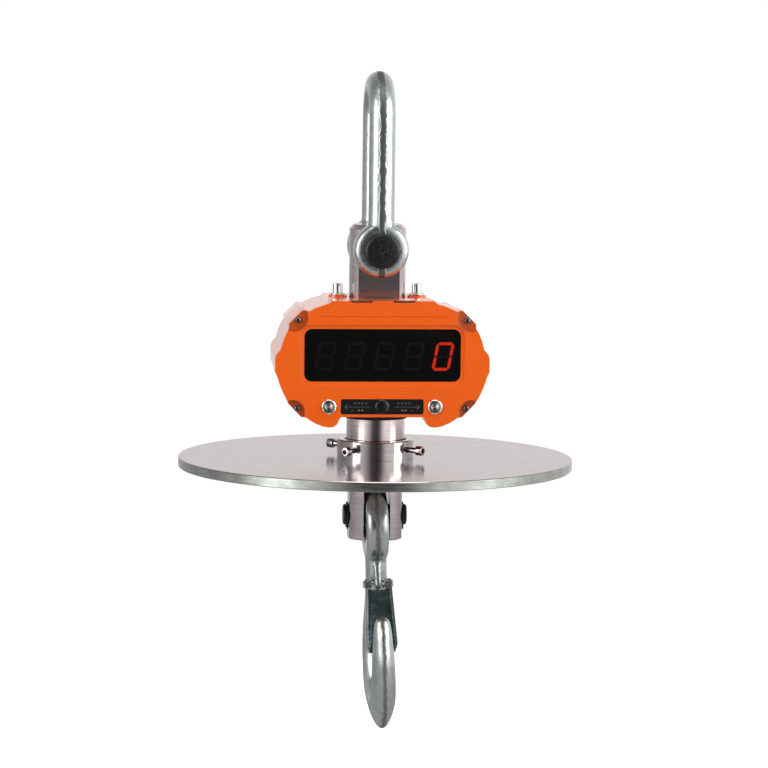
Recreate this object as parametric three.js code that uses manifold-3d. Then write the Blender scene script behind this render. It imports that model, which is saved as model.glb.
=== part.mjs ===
// A crane scale: a shackle carries a load cell with an orange indicator housing round its waist,
// a heat shield disc is clamped round its lower column, and a latched eye hook hangs below.
// Millimetres, +Z up, the indicator faces -Y. The origin is the inside of the shackle's crown.
import * as THREE from 'three';
import { mergeVertices } from 'three/addons/utils/BufferGeometryUtils.js';
import Module from 'manifold-3d';

const wasm = await Module();
wasm.setup();

// Driving dimensions.

const seatGap = 0.15; // between faces that rest on each other
const fitGap = 0.3; // radial room round a pin, screw or plug in its hole

const barDiameter = 28; // shackle bar
const shackleReach = 159; // crown seat to the upper pin's axis
const shackleOpening = 45; // clear width between the shackle's eyes
const upperPin = 30;
const upperPinHeadHeight = 8;
const nutHeight = 18;
const washerThickness = 3;

const headDiameter = 60; // load cell, upper end
const headAboveAxis = 25;
const headAcrossFlats = 40.8;
const waistDiameter = 46;
const columnDiameter = 62;
const clevisBelowAxis = 25;
const slotAboveAxis = 38;
const lowerPin = 22;
const lowerPinProud = 5.8; // how far each end stands out of the clevis
const ringThickness = 1.6;

const digitHeight = 30;
const digitWidth = 19;
const digitPitch = 31;
const digitStroke = 3;
const digitSlant = 10.5; // degrees
const digitsRight = 2.2; // the row of digits stands off the window's middle, to the right
const digitsDown = 1.4; // and down
const windowRadius = 8;
const lensThickness = 3;
const lensMargin = 3; // the lens's rim behind the cover

const housingBelowAxis = 51; // upper pin axis down to the housing's top
const aboveWindow = 29.55; // housing top down to the window
const belowWindow = 26.35; // window down to the row of buttons
const belowButtons = 11; // row of buttons down to the housing's bottom
const besideWindow = 30.5;
const housingDepth = 140;
const housingFrontFace = -71; // y of the front cover's face
const lobeDrop = 11; // how far the two lower lobes hang below the housing's middle
const wall = 4;
const coverThickness = 6;
const gasketThickness = 0.8;
const rearWidthRatio = 0.96; // the casting's draft: rear outline over front outline
const rearHeightRatio = 0.945;
const cornerPocketDepth = 4;

const bezelDiameter = 15.4;
const barrelDiameter = 12;
const plungerDiameter = 9;
const buttonTravel = 1.5;
const labelHeight = 15.7;
const irDiameter = 15;

const topScrew = 6;
const screwHead = 7; // cover screws
const screwShank = 4;

const discDiameter = 420;
const discThickness = 10.5;
const shieldBelowHousing = 50.6;
const collarWall = 8;
const collarHeight = 20;
const collarScrew = 6;
const collarScrewTurn = -38; // degrees round +Z from +X to the first screw; the others follow by quarters

const pinBelowShield = 51.5; // shield's underside down to the lower pin's axis
const hookEyeOuter = 83;
const hookEyeInner = 40;
const hookThickness = 24;
const hookLean = 2.5; // degrees the hook lies over to one side in its slot
const latchLength = 74;
const latchWidth = 33.4;
const latchTopWidth = 28;
const latchSheet = 2.2;
const latchPinDiameter = 5;
const latchClosed = 15.8; // degrees from straight down

// Worked out from the driving dimensions.

const legOffset = (shackleOpening + barDiameter) / 2;
const shackleOuterFace = shackleOpening / 2 + barDiameter;
const shackleEye = upperPin + 28.5;
const upperPinHead = upperPin + 7;
const nutAcrossFlats = upperPin + 11;
const windowWidth = 4 * digitPitch + digitWidth + 22;
const windowHeight = digitHeight + 25.5;
const housingTop = -housingBelowAxis;
const windowZ = housingTop - aboveWindow - windowHeight / 2;
const buttonZ = housingTop - aboveWindow - windowHeight - belowWindow;
const housingBottom = buttonZ - belowButtons;
const housingHeight = housingTop - housingBottom;
const housingHalfWidth = windowWidth / 2 + besideWindow;
const housingMiddle = (housingTop + housingBottom) / 2;
const coverRear = housingFrontFace + coverThickness;
const bodyFront = coverRear + gasketThickness + 2 * seatGap;
const housingRearFace = housingFrontFace + housingDepth;
const rearCoverFront = housingRearFace - coverThickness;
const bodyRear = rearCoverFront - gasketThickness - 2 * seatGap;
const cornerX = housingHalfWidth - 23.8;
const cornerTop = housingTop - 20.5;
const cornerBottom = housingBottom + 9;
const lobeInner = columnDiameter / 2 + 12; // each lower lobe starts this far from the middle
const buttonSpacing = 2 * (lobeInner + 13);
const labelWidth = buttonSpacing - bezelDiameter - 9.6;
const topScrewSpacing = headDiameter + 24.4;
const discTop = housingBottom - shieldBelowHousing;
const discBottom = discTop - discThickness;
const collarBore = columnDiameter + 4;
const collarDiameter = collarBore + 2 * collarWall;
const clevisAcrossFlats = columnDiameter - 6;
const slotWidth = hookThickness + 4.4;
const ringDiameter = lowerPin + 5.5;
const pinSpacing = pinBelowShield - discBottom;
const clevisBottom = -pinSpacing - clevisBelowAxis;
const lensFront = housingFrontFace + 1.7;
const lensRear = lensFront + lensThickness;
const digitFront = lensRear + 0.5;
const digitDepth = 7;
const boardThickness = 1.6;
const displayBoardFront = digitFront + digitDepth + seatGap;
const mainBoardFront = displayBoardFront + boardThickness + 13;

// Materials.

const finishes = {
  zinc: [0xc9d0d0, 0.35, 0.9],
  blackSteel: [0x2a3030, 0.5, 0.8],
  machined: [0xb9aeb0, 0.25, 1],
  stainless: [0xd8d8d8, 0.2, 1],
  orange: [0xe8641a, 0.3, 0],
  rubber: [0x151515, 0.8, 0],
  smoked: [0x14120f, 0.1, 0],
  board: [0x1f5a35, 0.5, 0],
  digit: [0x3a3a38, 0.4, 0],
  litDigit: [0xe03010, 0.4, 0],
  blackPlastic: [0x1b1b1d, 0.4, 0],
  disc: [0xaba2a2, 0.2, 1],
  latchSteel: [0x3c4b4d, 0.3, 1],
  battery: [0x3a5f9a, 0.4, 0],
  springSteel: [0x8d9294, 0.3, 1],
};

function finish(name) {
  const [color, roughness, metalness] = finishes[name];
  return new THREE.MeshStandardMaterial({ color, roughness, metalness });
}

// Solids.

// Position-only, vertices merged, no collapsed triangles, faces pointing out.
function tidy(geometry) {
  const bare = geometry.index ? geometry.toNonIndexed() : geometry.clone();
  for (const name of Object.keys(bare.attributes)) {
    if (name !== 'position') bare.deleteAttribute(name);
  }
  const merged = mergeVertices(bare, 1e-4);
  const kept = [];
  for (let i = 0; i < merged.index.count; i += 3) {
    const corners = [0, 1, 2].map((k) => merged.index.getX(i + k));
    if (new Set(corners).size === 3) kept.push(...corners);
  }
  merged.setIndex(kept);
  return volumeOf(merged) < 0 ? turnedInsideOut(merged) : merged;
}

function volumeOf(geometry) {
  const corner = [0, 1, 2].map(() => new THREE.Vector3());
  let volume = 0;
  for (let i = 0; i < geometry.index.count; i += 3) {
    corner.forEach((v, k) => v.fromBufferAttribute(geometry.attributes.position, geometry.index.getX(i + k)));
    volume += corner[0].dot(corner[1].clone().cross(corner[2])) / 6;
  }
  return volume;
}

function turnedInsideOut(geometry) {
  const flipped = [];
  for (let i = 0; i < geometry.index.count; i += 3) {
    flipped.push(geometry.index.getX(i), geometry.index.getX(i + 2), geometry.index.getX(i + 1));
  }
  geometry.setIndex(flipped);
  return geometry;
}

function solidOf(geometry) {
  const closed = tidy(geometry);
  const vertProperties = new Float32Array(closed.attributes.position.array);
  const triVerts = new Uint32Array(closed.index.array);
  return new wasm.Manifold(new wasm.Mesh({ numProp: 3, vertProperties, triVerts }));
}

function geometryOf(solid) {
  const mesh = solid.getMesh();
  const geometry = new THREE.BufferGeometry();
  geometry.setAttribute('position', new THREE.BufferAttribute(mesh.vertProperties, 3));
  geometry.setIndex(new THREE.BufferAttribute(mesh.triVerts, 1));
  return geometry;
}

function cut(base, ...tools) {
  return geometryOf(tools.reduce((solid, tool) => solid.subtract(solidOf(tool)), solidOf(base)));
}

function join(first, ...others) {
  return geometryOf(others.reduce((solid, other) => solid.add(solidOf(other)), solidOf(first)));
}

function common(first, second) {
  return geometryOf(solidOf(first).intersect(solidOf(second)));
}

// Basic shapes.

// Rows of a matrix that lays a shape's (first, second, depth) on the wanted axes.
const axisFrames = {
  x: [0, 0, 1, 1, 0, 0, 0, 1, 0],
  y: [1, 0, 0, 0, 0, 1, 0, 1, 0],
  z: [1, 0, 0, 0, 1, 0, 0, 0, 1],
};

function alongAxis(geometry, axis) {
  const m = axisFrames[axis];
  return geometry.applyMatrix4(
    new THREE.Matrix4().set(m[0], m[1], m[2], 0, m[3], m[4], m[5], 0, m[6], m[7], m[8], 0, 0, 0, 0, 1),
  );
}

// An outline pushed along an axis. Its two coordinates are (y, z), (x, z) or (x, y).
function slab(shape, axis, from, to, curveSegments = 3) {
  const geometry = new THREE.ExtrudeGeometry(shape, {
    depth: to - from, bevelEnabled: false, curveSegments,
  });
  geometry.translate(0, 0, from);
  return tidy(alongAxis(geometry, axis));
}

// A profile of [radius, station] pairs turned round an axis.
function turned(profile, axis, sides = 32) {
  const geometry = new THREE.LatheGeometry(profile.map(([r, s]) => new THREE.Vector2(r, s)), sides);
  geometry.rotateX(Math.PI / 2);
  return tidy(alongAxis(geometry, axis));
}

function rod(axis, diameter, from, to, sides = 20) {
  return turned([[0, from], [diameter / 2, from], [diameter / 2, to], [0, to]], axis, sides);
}

function ring(axis, outer, inner, from, to, sides = 28) {
  const [o, i] = [outer / 2, inner / 2];
  return turned([[i, from], [o, from], [o, to], [i, to], [i, from]], axis, sides);
}

function block(x0, x1, y0, y1, z0, z1) {
  const geometry = new THREE.BoxGeometry(x1 - x0, y1 - y0, z1 - z0);
  return tidy(geometry.translate((x0 + x1) / 2, (y0 + y1) / 2, (z0 + z1) / 2));
}

function moved(geometry, x, y, z) {
  return geometry.clone().translate(x, y, z);
}

function roundedRectangle(width, height, radius, cx = 0, cz = 0) {
  const [w, h] = [width / 2, height / 2];
  const shape = new THREE.Shape();
  shape.moveTo(cx - w + radius, cz - h);
  shape.absarc(cx + w - radius, cz - h + radius, radius, -Math.PI / 2, 0);
  shape.absarc(cx + w - radius, cz + h - radius, radius, 0, Math.PI / 2);
  shape.absarc(cx - w + radius, cz + h - radius, radius, Math.PI / 2, Math.PI);
  shape.absarc(cx - w + radius, cz - h + radius, radius, Math.PI, 1.5 * Math.PI);
  return shape;
}

function hexagon(acrossFlats) {
  const radius = acrossFlats / Math.sqrt(3);
  const shape = new THREE.Shape();
  for (let i = 0; i < 6; i += 1) {
    const angle = (i * Math.PI) / 3 + Math.PI / 6;
    const corner = [radius * Math.cos(angle), radius * Math.sin(angle)];
    if (i === 0) shape.moveTo(...corner);
    else shape.lineTo(...corner);
  }
  shape.closePath();
  return shape;
}

// A round-section wire or tube along a curve.
function tube(curve, diameter, steps, sides = 8) {
  const section = new THREE.Shape();
  section.absarc(0, 0, diameter / 2, 0, 2 * Math.PI);
  const along = { steps, extrudePath: curve, curveSegments: sides / 2, bevelEnabled: false };
  return tidy(new THREE.ExtrudeGeometry(section, along));
}

// A socket head cap screw pointing down -Z, its head's underside at the origin.
function capScrew(headDiameter, headHeight, shank, length, sides = 12) {
  const chamfer = headDiameter * 0.06;
  const body = turned([
    [0, -length], [shank / 2, -length], [shank / 2, 0], [headDiameter / 2, 0],
    [headDiameter / 2, headHeight - chamfer], [headDiameter / 2 - chamfer, headHeight], [0, headHeight],
  ], 'z', sides);
  return cut(body, slab(hexagon(headDiameter / 2), 'z', headHeight * 0.5, headHeight + 1));
}

// Shackle, its frame's origin at the crown seat.

// Straight legs of one step each and a half-round crown between them.
class BowCurve extends THREE.Curve {
  constructor(steps) {
    super();
    this.legShare = 1 / steps;
  }

  getUtoTmapping(u) {
    return u;
  }

  getPoint(t, target = new THREE.Vector3()) {
    const crownZ = -shackleOpening / 2;
    const share = this.legShare;
    if (t <= share) return target.set(0, -legOffset, -shackleReach + ((shackleReach + crownZ) * t) / share);
    if (t >= 1 - share) {
      return target.set(0, legOffset, -shackleReach + ((shackleReach + crownZ) * (1 - t)) / share);
    }
    const angle = Math.PI - (Math.PI * (t - share)) / (1 - 2 * share);
    return target.set(0, legOffset * Math.cos(angle), crownZ + legOffset * Math.sin(angle));
  }
}

function shackleBow() {
  const steps = 18;
  const bow = tube(new BowCurve(steps), barDiameter, steps, 16);
  const [r, half, round] = [shackleEye / 2, barDiameter / 2, 5];
  const eyeProfile = [
    [0, -half], [r - round, -half], [r, -half + round], [r, half - round], [r - round, half], [0, half],
  ];
  const eye = turned(eyeProfile, 'y', 26);
  const eyes = [-legOffset, legOffset].map((y) => moved(eye, 0, y, -shackleReach));
  const bore = rod('y', upperPin + 2 * fitGap, -shackleOuterFace - 5, shackleOuterFace + 5, 20);
  const halfOpening = shackleOpening / 2;
  const gapBetweenEyes = block(-40, 40, -halfOpening, halfOpening, -shackleReach - 40, -shackleReach + 33);
  return cut(join(bow, ...eyes), moved(bore, 0, 0, -shackleReach), gapBetweenEyes);
}

function shacklePin() {
  const headFace = -shackleOuterFace - seatGap - upperPinHeadHeight;
  const [head, shank, thread] = [upperPinHead / 2, upperPin / 2, upperPin / 2 - 1.5];
  const nutEnd = shackleOuterFace + washerThickness + nutHeight;
  const pin = turned([
    [0, headFace + 1.2], [1.6, headFace], [head - 1.5, headFace], [head, headFace + 1.5],
    [head, -shackleOuterFace - seatGap], [shank, -shackleOuterFace - seatGap], [shank, shackleOuterFace],
    [thread, shackleOuterFace + 1], [thread, nutEnd + 4], [thread - 1.5, nutEnd + 6], [0, nutEnd + 6],
  ], 'y', 20);
  return cut(pin, moved(rod('z', 4.4, -30, 30, 12), 0, nutEnd - 2.6, 0));
}

function shackleWasher() {
  const [from, to] = [shackleOuterFace + seatGap, shackleOuterFace + washerThickness];
  return ring('y', upperPin + 20, upperPin, from, to, 20);
}

function castleNut() {
  const start = shackleOuterFace + washerThickness + seatGap;
  const end = shackleOuterFace + washerThickness + nutHeight;
  const crown = slab(hexagon(nutAcrossFlats), 'y', start, end);
  const rounding = turned([
    [0, start - 1], [nutAcrossFlats / 2 + 1.2, start - 1], [nutAcrossFlats / 2 + 3.2, start + 2],
    [nutAcrossFlats / 2 + 3.2, end - 9], [nutAcrossFlats / 2 - 1.5, end - 6],
    [nutAcrossFlats / 2 - 1.5, end + 1], [0, end + 1],
  ], 'y', 24);
  const slots = [0, 60, 120].map((angle) => {
    return block(-30, 30, end - 5.4, end + 1, -3, 3).rotateY(THREE.MathUtils.degToRad(angle));
  });
  return cut(common(crown, rounding), rod('y', upperPin - 3 + 2 * fitGap, start - 1, end + 1, 24), ...slots);
}

// The split pin's eye stands above the nut and its legs are bent over below.
function splitPin() {
  const y = shackleOuterFace + washerThickness + nutHeight - 2.6;
  const reach = nutAcrossFlats / 2 + 2.5;
  const shank = new THREE.CatmullRomCurve3([
    new THREE.Vector3(-reach, y, 0), new THREE.Vector3(0, y, 0), new THREE.Vector3(reach - 5, y, 0),
    new THREE.Vector3(reach - 1, y, 0), new THREE.Vector3(reach + 1.4, y + 2, 0),
    new THREE.Vector3(reach + 1.8, y + 9, 0),
  ]);
  const eye = moved(new THREE.TorusGeometry(3.6, 1.8, 6, 12).rotateX(Math.PI / 2), -reach - 3, y, 0);
  return join(tube(shank, 3.6, 10), eye);
}

// Load cell, in the frame of the upper pin's axis.

function loadCell() {
  const [head, waist, column] = [headDiameter, waistDiameter, columnDiameter].map((d) => d / 2);
  const waistTop = housingTop - 24;
  const waistBottom = housingBottom + 24;
  const body = turned([
    [0, clevisBottom], [column - 3, clevisBottom], [column, clevisBottom + 3], [column, waistBottom - 6],
    [waist, waistBottom], [waist, waistTop],
    [head, waistTop + 6], [head, headAboveAxis - 5], [head - 5, headAboveAxis], [0, headAboveAxis],
  ], 'z', 32);
  const flats = [-1, 1].map((side) => {
    const near = (side * headAcrossFlats) / 2;
    const far = near + side * 20;
    return block(-40, 40, Math.min(near, far), Math.max(near, far), housingTop - 1, headAboveAxis + 5);
  });
  const clevisFlats = [
    block(-60, -clevisAcrossFlats / 2, -40, 40, clevisBottom - 5, discBottom - 3),
    block(clevisAcrossFlats / 2, 60, -40, 40, clevisBottom - 5, discBottom - 3),
  ];
  const upperBore = rod('y', upperPin + 2 * fitGap, -40, 40, 20);
  const slot = block(-slotWidth / 2, slotWidth / 2, -40, 40, clevisBottom - 5, -pinSpacing + slotAboveAxis);
  const lowerBore = moved(rod('x', lowerPin + 2 * fitGap, -40, 40, 20), 0, 0, -pinSpacing);
  const pocketZ = (waistTop + waistBottom) / 2;
  const gaugePockets = [-1, 1].flatMap((side) => [
    moved(rod('x', 26, -4, 4, 16), side * (waist - 2), 0, pocketZ),
    moved(block(-5, 5, -19, 19, -19, 19), side * (waist + 3), 0, pocketZ),
  ]);
  return cut(body, ...flats, ...clevisFlats, upperBore, slot, lowerBore, ...gaugePockets);
}

const flangeThickness = 8;
const flangeLength = topScrewSpacing + 13.6;
const flangeDepth = headDiameter + 14;
const draftAtFlange = (flangeDepth / 2 - bodyFront) / (bodyRear - bodyFront);
const roofDrop = (housingHeight / 2 - wall) * (1 - rearHeightRatio) * draftAtFlange;
const flangeTop = housingTop - wall - roofDrop - fitGap;

function mountingFlange() {
  const outline = roundedRectangle(flangeLength, flangeDepth, 12);
  const plate = slab(outline, 'z', flangeTop - flangeThickness, flangeTop, 2);
  const holes = [-1, 1].map((side) => {
    return moved(rod('z', topScrew + 2 * fitGap, -20, 20, 16), (side * topScrewSpacing) / 2, 0, flangeTop);
  });
  return cut(plate, rod('z', headDiameter + 2 * fitGap, flangeTop - 20, flangeTop + 5, 28), ...holes);
}

// The rubber lip below the housing, round the column.
function lowerSeal() {
  const inner = columnDiameter / 2 + fitGap;
  return turned([
    [inner, housingBottom - 8], [inner + 2.2, housingBottom - 8], [inner + 3.2, housingBottom - 6.5],
    [inner + 3.2, housingBottom - 2.4], [inner + 5.5, housingBottom - 1.4],
    [inner + 5.5, housingBottom - seatGap],
    [inner, housingBottom - seatGap], [inner, housingBottom - 8],
  ], 'z', 32);
}

// Housing.

// The right half of the front outline runs from the top's middle down to the bottom's middle.
function traceHalf(path, side, notched, lobe) {
  const [top, bottom, half] = [housingTop, housingBottom, housingHalfWidth];
  const facet = 14.2;
  const facetX = half - 14.4;
  const go = (x, z) => path.push(['line', side * x, z]);
  const bend = (cx, cz, x, z) => path.push(['curve', side * cx, cz, side * x, z]);
  if (notched) {
    [[10, 0], [12, 2], [33, 2], [35, 0]].forEach(([x, drop]) => go(x, top - drop));
  }
  go(54, top);
  go(57.5, top - 3.2);
  bend((57.5 + facetX - 21) / 2, top - 5.2, facetX - 21, top - 10.8);
  go(facetX - facet, top - 10.2);
  go(facetX, top - 10.2 - facet);
  go(facetX, top - 29);
  bend(half - 8.5, top - 38.5, half - 5.8, top - 51);
  go(half - 1.6, top - 56);
  bend(half, top - 59, half, top - 63);
  go(half, bottom + 47.4);
  go(half - 2.5, bottom + 42.4);
  bend(half - 6, bottom + 29, half - 13.4, bottom + 16.4);
  go(facetX, bottom + 13.8);
  go(facetX - facet + 0.4, bottom - 0.4);
  go(facetX - facet - 4, bottom - 0.4);
  bend(lobe + 23, bottom - lobeDrop, lobe + 12.5, bottom - lobeDrop);
  bend(lobe + 3.6, bottom - lobeDrop, lobe + 2.4, bottom - 3);
  go(lobe, bottom);
}

// The lobes' inner flanks stand at the given distance from the middle.
function housingOutline(notched, lobe) {
  const right = [];
  traceHalf(right, 1, notched, lobe);
  const shape = new THREE.Shape();
  shape.moveTo(0, housingTop);
  for (const [kind, ...at] of right) {
    if (kind === 'line') shape.lineTo(...at);
    else shape.quadraticCurveTo(...at);
  }
  // the left half is the right half's points mirrored and run backwards
  const points = shape.getPoints(3);
  const left = points.slice(1).reverse().map((p) => new THREE.Vector2(-p.x, p.y));
  return [...points, ...left];
}

// The outline drawn in by a margin on all sides, the lobes' inner flanks as well.
function insetOutline(margin, notched = false) {
  const widthRatio = (housingHalfWidth - margin) / housingHalfWidth;
  const heightRatio = (housingHeight / 2 - margin) / (housingHeight / 2);
  const lobe = (lobeInner + margin) / widthRatio;
  return new THREE.Shape(housingOutline(notched, lobe).map((p) => {
    return new THREE.Vector2(p.x * widthRatio, housingMiddle + (p.y - housingMiddle) * heightRatio);
  }));
}

// Draft: the section shrinks evenly towards the rear of the body.
function draft(geometry) {
  const place = geometry.attributes.position;
  for (let i = 0; i < place.count; i += 1) {
    const share = (place.getY(i) - bodyFront) / (bodyRear - bodyFront);
    place.setX(i, place.getX(i) * (1 - (1 - rearWidthRatio) * share));
    place.setZ(i, housingMiddle + (place.getZ(i) - housingMiddle) * (1 - (1 - rearHeightRatio) * share));
  }
  return geometry;
}

// The four corner screws' places on the front face, or drawn in for the rear face.
function cornerPlaces(rear = false) {
  const [w, h] = rear ? [rearWidthRatio, rearHeightRatio] : [1, 1];
  return [-1, 1].flatMap((side) => [cornerTop, cornerBottom].map((z) => {
    return [side * cornerX * w, housingMiddle + (z - housingMiddle) * h];
  }));
}

const bossDepth = 16;
const padTop = housingTop + 0.5;

// Rods along y at the four corner screws' places.
function cornerRods(diameter, from, to, sides, rear = false) {
  return cornerPlaces(rear).map(([x, z]) => moved(rod('y', diameter, from, to, sides), x, 0, z));
}

function housingBody() {
  const outer = draft(slab(insetOutline(0), 'y', bodyFront, bodyRear));
  const hollow = draft(slab(insetOutline(wall), 'y', bodyFront - 1, bodyRear + 1));
  const bosses = [
    ...cornerRods(14, bodyFront - 2, bodyFront + bossDepth, 10),
    ...cornerRods(14, bodyRear - bossDepth, bodyRear + 2, 10, true),
  ];
  const screwHole = screwShank + 2 * fitGap;
  const holes = [
    ...cornerRods(screwHole, bodyFront - 2, bodyFront + 12, 8),
    ...cornerRods(screwHole, bodyRear - 12, bodyRear + 2, 8, true),
  ];
  const pads = [-1, 1].map((side) => {
    return moved(rod('z', 20, flangeTop + seatGap, padTop, 16), (side * topScrewSpacing) / 2, 0, 0);
  });
  const padHole = rod('z', topScrew + 2 * fitGap, housingTop - 16, housingTop + 5, 10);
  const padHoles = [-1, 1].map((side) => moved(padHole, (side * topScrewSpacing) / 2, 0, 0));
  const topHole = rod('z', headDiameter + 2, housingTop - 12, housingTop + 10, 28);
  const bottomHole = rod('z', columnDiameter + 2, housingBottom - 15, housingBottom + 10, 28);
  return cut(join(cut(outer, cut(hollow, ...bosses)), ...pads), ...holes, ...padHoles, topHole, bottomHole);
}

// A screw pocket opens on the corner's facet and has a round inner wall.
function cornerPockets(from, to) {
  return [-1, 1].flatMap((side) => [
    moved(rod('y', 29, from, to, 18), side * (cornerX + 3.8), 0, cornerTop + 2.5),
    moved(rod('y', 25.6, from, to, 18), side * (cornerX + 4.8), 0, cornerBottom - 3.6),
  ]);
}

// The display window's outline, grown by a margin.
function windowOutline(margin) {
  const [width, height] = [windowWidth + 2 * margin, windowHeight + 2 * margin];
  return roundedRectangle(width, height, windowRadius + margin, 0, windowZ);
}

function frontCover() {
  const plate = slab(insetOutline(0, true), 'y', housingFrontFace, coverRear);
  const opening = slab(windowOutline(0), 'y', -90, -50);
  const lensSeat = slab(windowOutline(lensMargin), 'y', lensFront - seatGap, -50);
  const labelSeat = slab(
    roundedRectangle(labelWidth + 0.6, labelHeight + 0.6, 2, 0, buttonZ), 'y', -90, housingFrontFace + 0.9, 1,
  );
  const irHole = moved(rod('y', irDiameter + 2 * fitGap - 2, -90, -50, 20), 0, 0, buttonZ);
  const buttonHoles = [-1, 1].map((side) => {
    return moved(rod('y', barrelDiameter + 2 * fitGap, -90, -50, 16), (side * buttonSpacing) / 2, 0, buttonZ);
  });
  const screwHoles = cornerRods(screwShank + 2 * fitGap, -90, -50, 8);
  const pockets = cornerPockets(-90, housingFrontFace + cornerPocketDepth);
  return cut(plate, opening, lensSeat, labelSeat, irHole, ...buttonHoles, ...screwHoles, ...pockets);
}

// A flat frame that widens into an eyelet round each corner screw.
function gasket(from, to, rear) {
  const atCorners = (diameter) => cornerRods(diameter, from - 1, to + 1, 10, rear);
  const sheet = slab(insetOutline(0.2), 'y', from, to);
  const middle = slab(insetOutline(wall), 'y', from - 1, to + 1);
  const [outline, hollow] = rear ? [draft(sheet), draft(middle)] : [sheet, middle];
  return cut(outline, cut(hollow, ...atCorners(13)), ...atCorners(screwShank + 2 * fitGap));
}

const doorWidth = 100;
const doorTop = housingTop - 18;
const doorBottom = housingBottom + 12.4;
const openingTop = doorTop - 8;
const openingBottom = doorBottom + 8;
const doorInnerFace = housingRearFace + fitGap;
const doorThickness = 4;
const hingeY = doorInnerFace + 3.1;
const hingeZ = doorTop + 5;
const hingePinDiameter = 3;
const lockZ = openingBottom + 6;
const socketX = 76;
const socketZ = housingBottom + 32;
const lidHingeY = housingRearFace + 4.3;
const lidHingeZ = socketZ + 15;

function roundedDoor(margin, from, to) {
  const height = doorTop - doorBottom - 2 * margin;
  const outline = roundedRectangle(doorWidth - 2 * margin, height, 6, 0, (doorTop + doorBottom) / 2);
  return slab(outline, 'y', from, to, 2);
}

function rearCover() {
  const plate = draft(slab(insetOutline(0), 'y', rearCoverFront, housingRearFace));
  const [openingHeight, openingMiddle] = [openingTop - openingBottom, (openingTop + openingBottom) / 2];
  const opening = slab(roundedRectangle(doorWidth - 16, openingHeight, 4, 0, openingMiddle), 'y', 40, 90, 2);
  const socketHole = moved(rod('y', 18 + 2 * fitGap, 40, 90, 18), socketX, 0, socketZ);
  const screwHoles = cornerRods(screwShank + 2 * fitGap, 40, 90, 8, true);
  const pockets = cornerRods(16, housingRearFace - cornerPocketDepth, 90, 14, true);
  const knuckle = join(
    moved(rod('x', 6, -17, 17, 14), 0, hingeY, hingeZ),
    block(-17, 17, housingRearFace - 1, hingeY, hingeZ - 2, hingeZ + 3),
  );
  const pinHole = moved(rod('x', hingePinDiameter + 2 * fitGap, -40, 40, 12), 0, hingeY, hingeZ);
  return cut(join(cut(plate, opening, socketHole, ...screwHoles, ...pockets), knuckle), pinHole);
}

// Display.

function displayWindow() {
  const outline = windowOutline(lensMargin - fitGap);
  return slab(outline, 'y', lensFront, lensRear);
}

function displayBoard() {
  const outline = roundedRectangle(windowWidth - 1, windowHeight + 0.5, 2, 0, windowZ);
  const rear = displayBoardFront + boardThickness;
  const board = slab(outline, 'y', displayBoardFront, rear, 1);
  const lampX = windowWidth / 2 - 11.25;
  const lampZ = windowZ + windowHeight / 2 - 4.75;
  const lampRear = displayBoardFront + 0.5;
  const lamp = block(lampX - 5.25, lampX + 5.25, digitFront, lampRear, lampZ - 1.8, lampZ + 1.8);
  const spacer = rod('y', 6, rear - 0.5, mainBoardFront - seatGap, 12);
  const spacers = [-1, 1].flatMap((side) => [-1, 1].map((up) => {
    return moved(spacer, side * (windowWidth / 2 - 22.5), 0, windowZ + up * (windowHeight / 2 - 5.75));
  }));
  return join(board, lamp, ...spacers);
}

// One bar of a digit, pointed at both ends, centred on the origin of its own frame.
function bar(length, upright) {
  const [half, end] = [digitStroke / 2, length / 2];
  const corners = [
    [-end, 0], [-end + half, -half], [end - half, -half], [end, 0], [end - half, half], [-end + half, half],
  ];
  return corners.map(([along, across]) => (upright ? [across, along] : [along, across]));
}

function ledDigit() {
  const [w, h] = [digitWidth - digitStroke, (digitHeight - digitStroke) / 2];
  const slant = Math.tan(THREE.MathUtils.degToRad(digitSlant));
  const places = [
    [0, h, false], [0, 0, false], [0, -h, false],
    [-w / 2, h / 2, true], [w / 2, h / 2, true], [-w / 2, -h / 2, true], [w / 2, -h / 2, true],
  ];
  const bars = places.map(([x, z, upright]) => {
    const corners = bar((upright ? h : w) - 0.8, upright);
    const shape = new THREE.Shape(corners.map(([a, b]) => new THREE.Vector2(x + a + (z + b) * slant, z + b)));
    return slab(shape, 'y', digitFront, digitFront + 2);
  });
  const dot = moved(rod('y', digitStroke, digitFront, digitFront + 2, 6), w / 2 + 1.6, 0, -h);
  const [half, high] = [digitPitch / 2 - 1.7, digitHeight / 2 + 4];
  const body = block(-half, half, digitFront + 0.5, digitFront + digitDepth, -high, high);
  return join(body, ...bars, dot);
}

function mainBoard() {
  const [front, rear] = [mainBoardFront, mainBoardFront + boardThickness];
  const height = windowHeight + 26.5;
  const middle = buttonZ + 2.2 + height / 2;
  const board = slab(roundedRectangle(132, height, 3, 0, middle), 'y', front, rear, 1);
  return join(
    board,
    block(-12, 12, front - 2.4, front + 0.5, middle - 12, middle + 12),
    block(-58, -40, rear - 0.5, rear + 6, middle + 20, middle + 27),
    block(34, 46, front - 7, front + 0.5, middle - 26, middle - 14),
    block(-38, -22, front - 5, front + 0.5, middle - 30, middle - 18),
    moved(rod('y', 10, front - 9, front + 0.5, 16), 52, 0, middle + 22),
  );
}

// Label strip, infrared window and buttons.

function labelPlate() {
  const plate = slab(
    roundedRectangle(labelWidth, labelHeight, 1.8, 0, buttonZ),
    'y', housingFrontFace + 0.1, housingFrontFace + 0.8, 1,
  );
  return cut(plate, moved(rod('y', irDiameter + 2 * fitGap - 2, -90, -50, 20), 0, 0, buttonZ));
}

function irWindow() {
  const [r, face] = [irDiameter / 2, housingFrontFace];
  return moved(turned([
    [0, face - 1.6], [r - 1.5, face - 1.4], [r, face - 0.3],
    [r, face - seatGap + 0.05], [r - 1.2, face - seatGap + 0.05],
    [r - 1.2, coverRear - 0.5], [0, coverRear - 0.5],
  ], 'y', 20), 0, 0, buttonZ);
}

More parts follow.
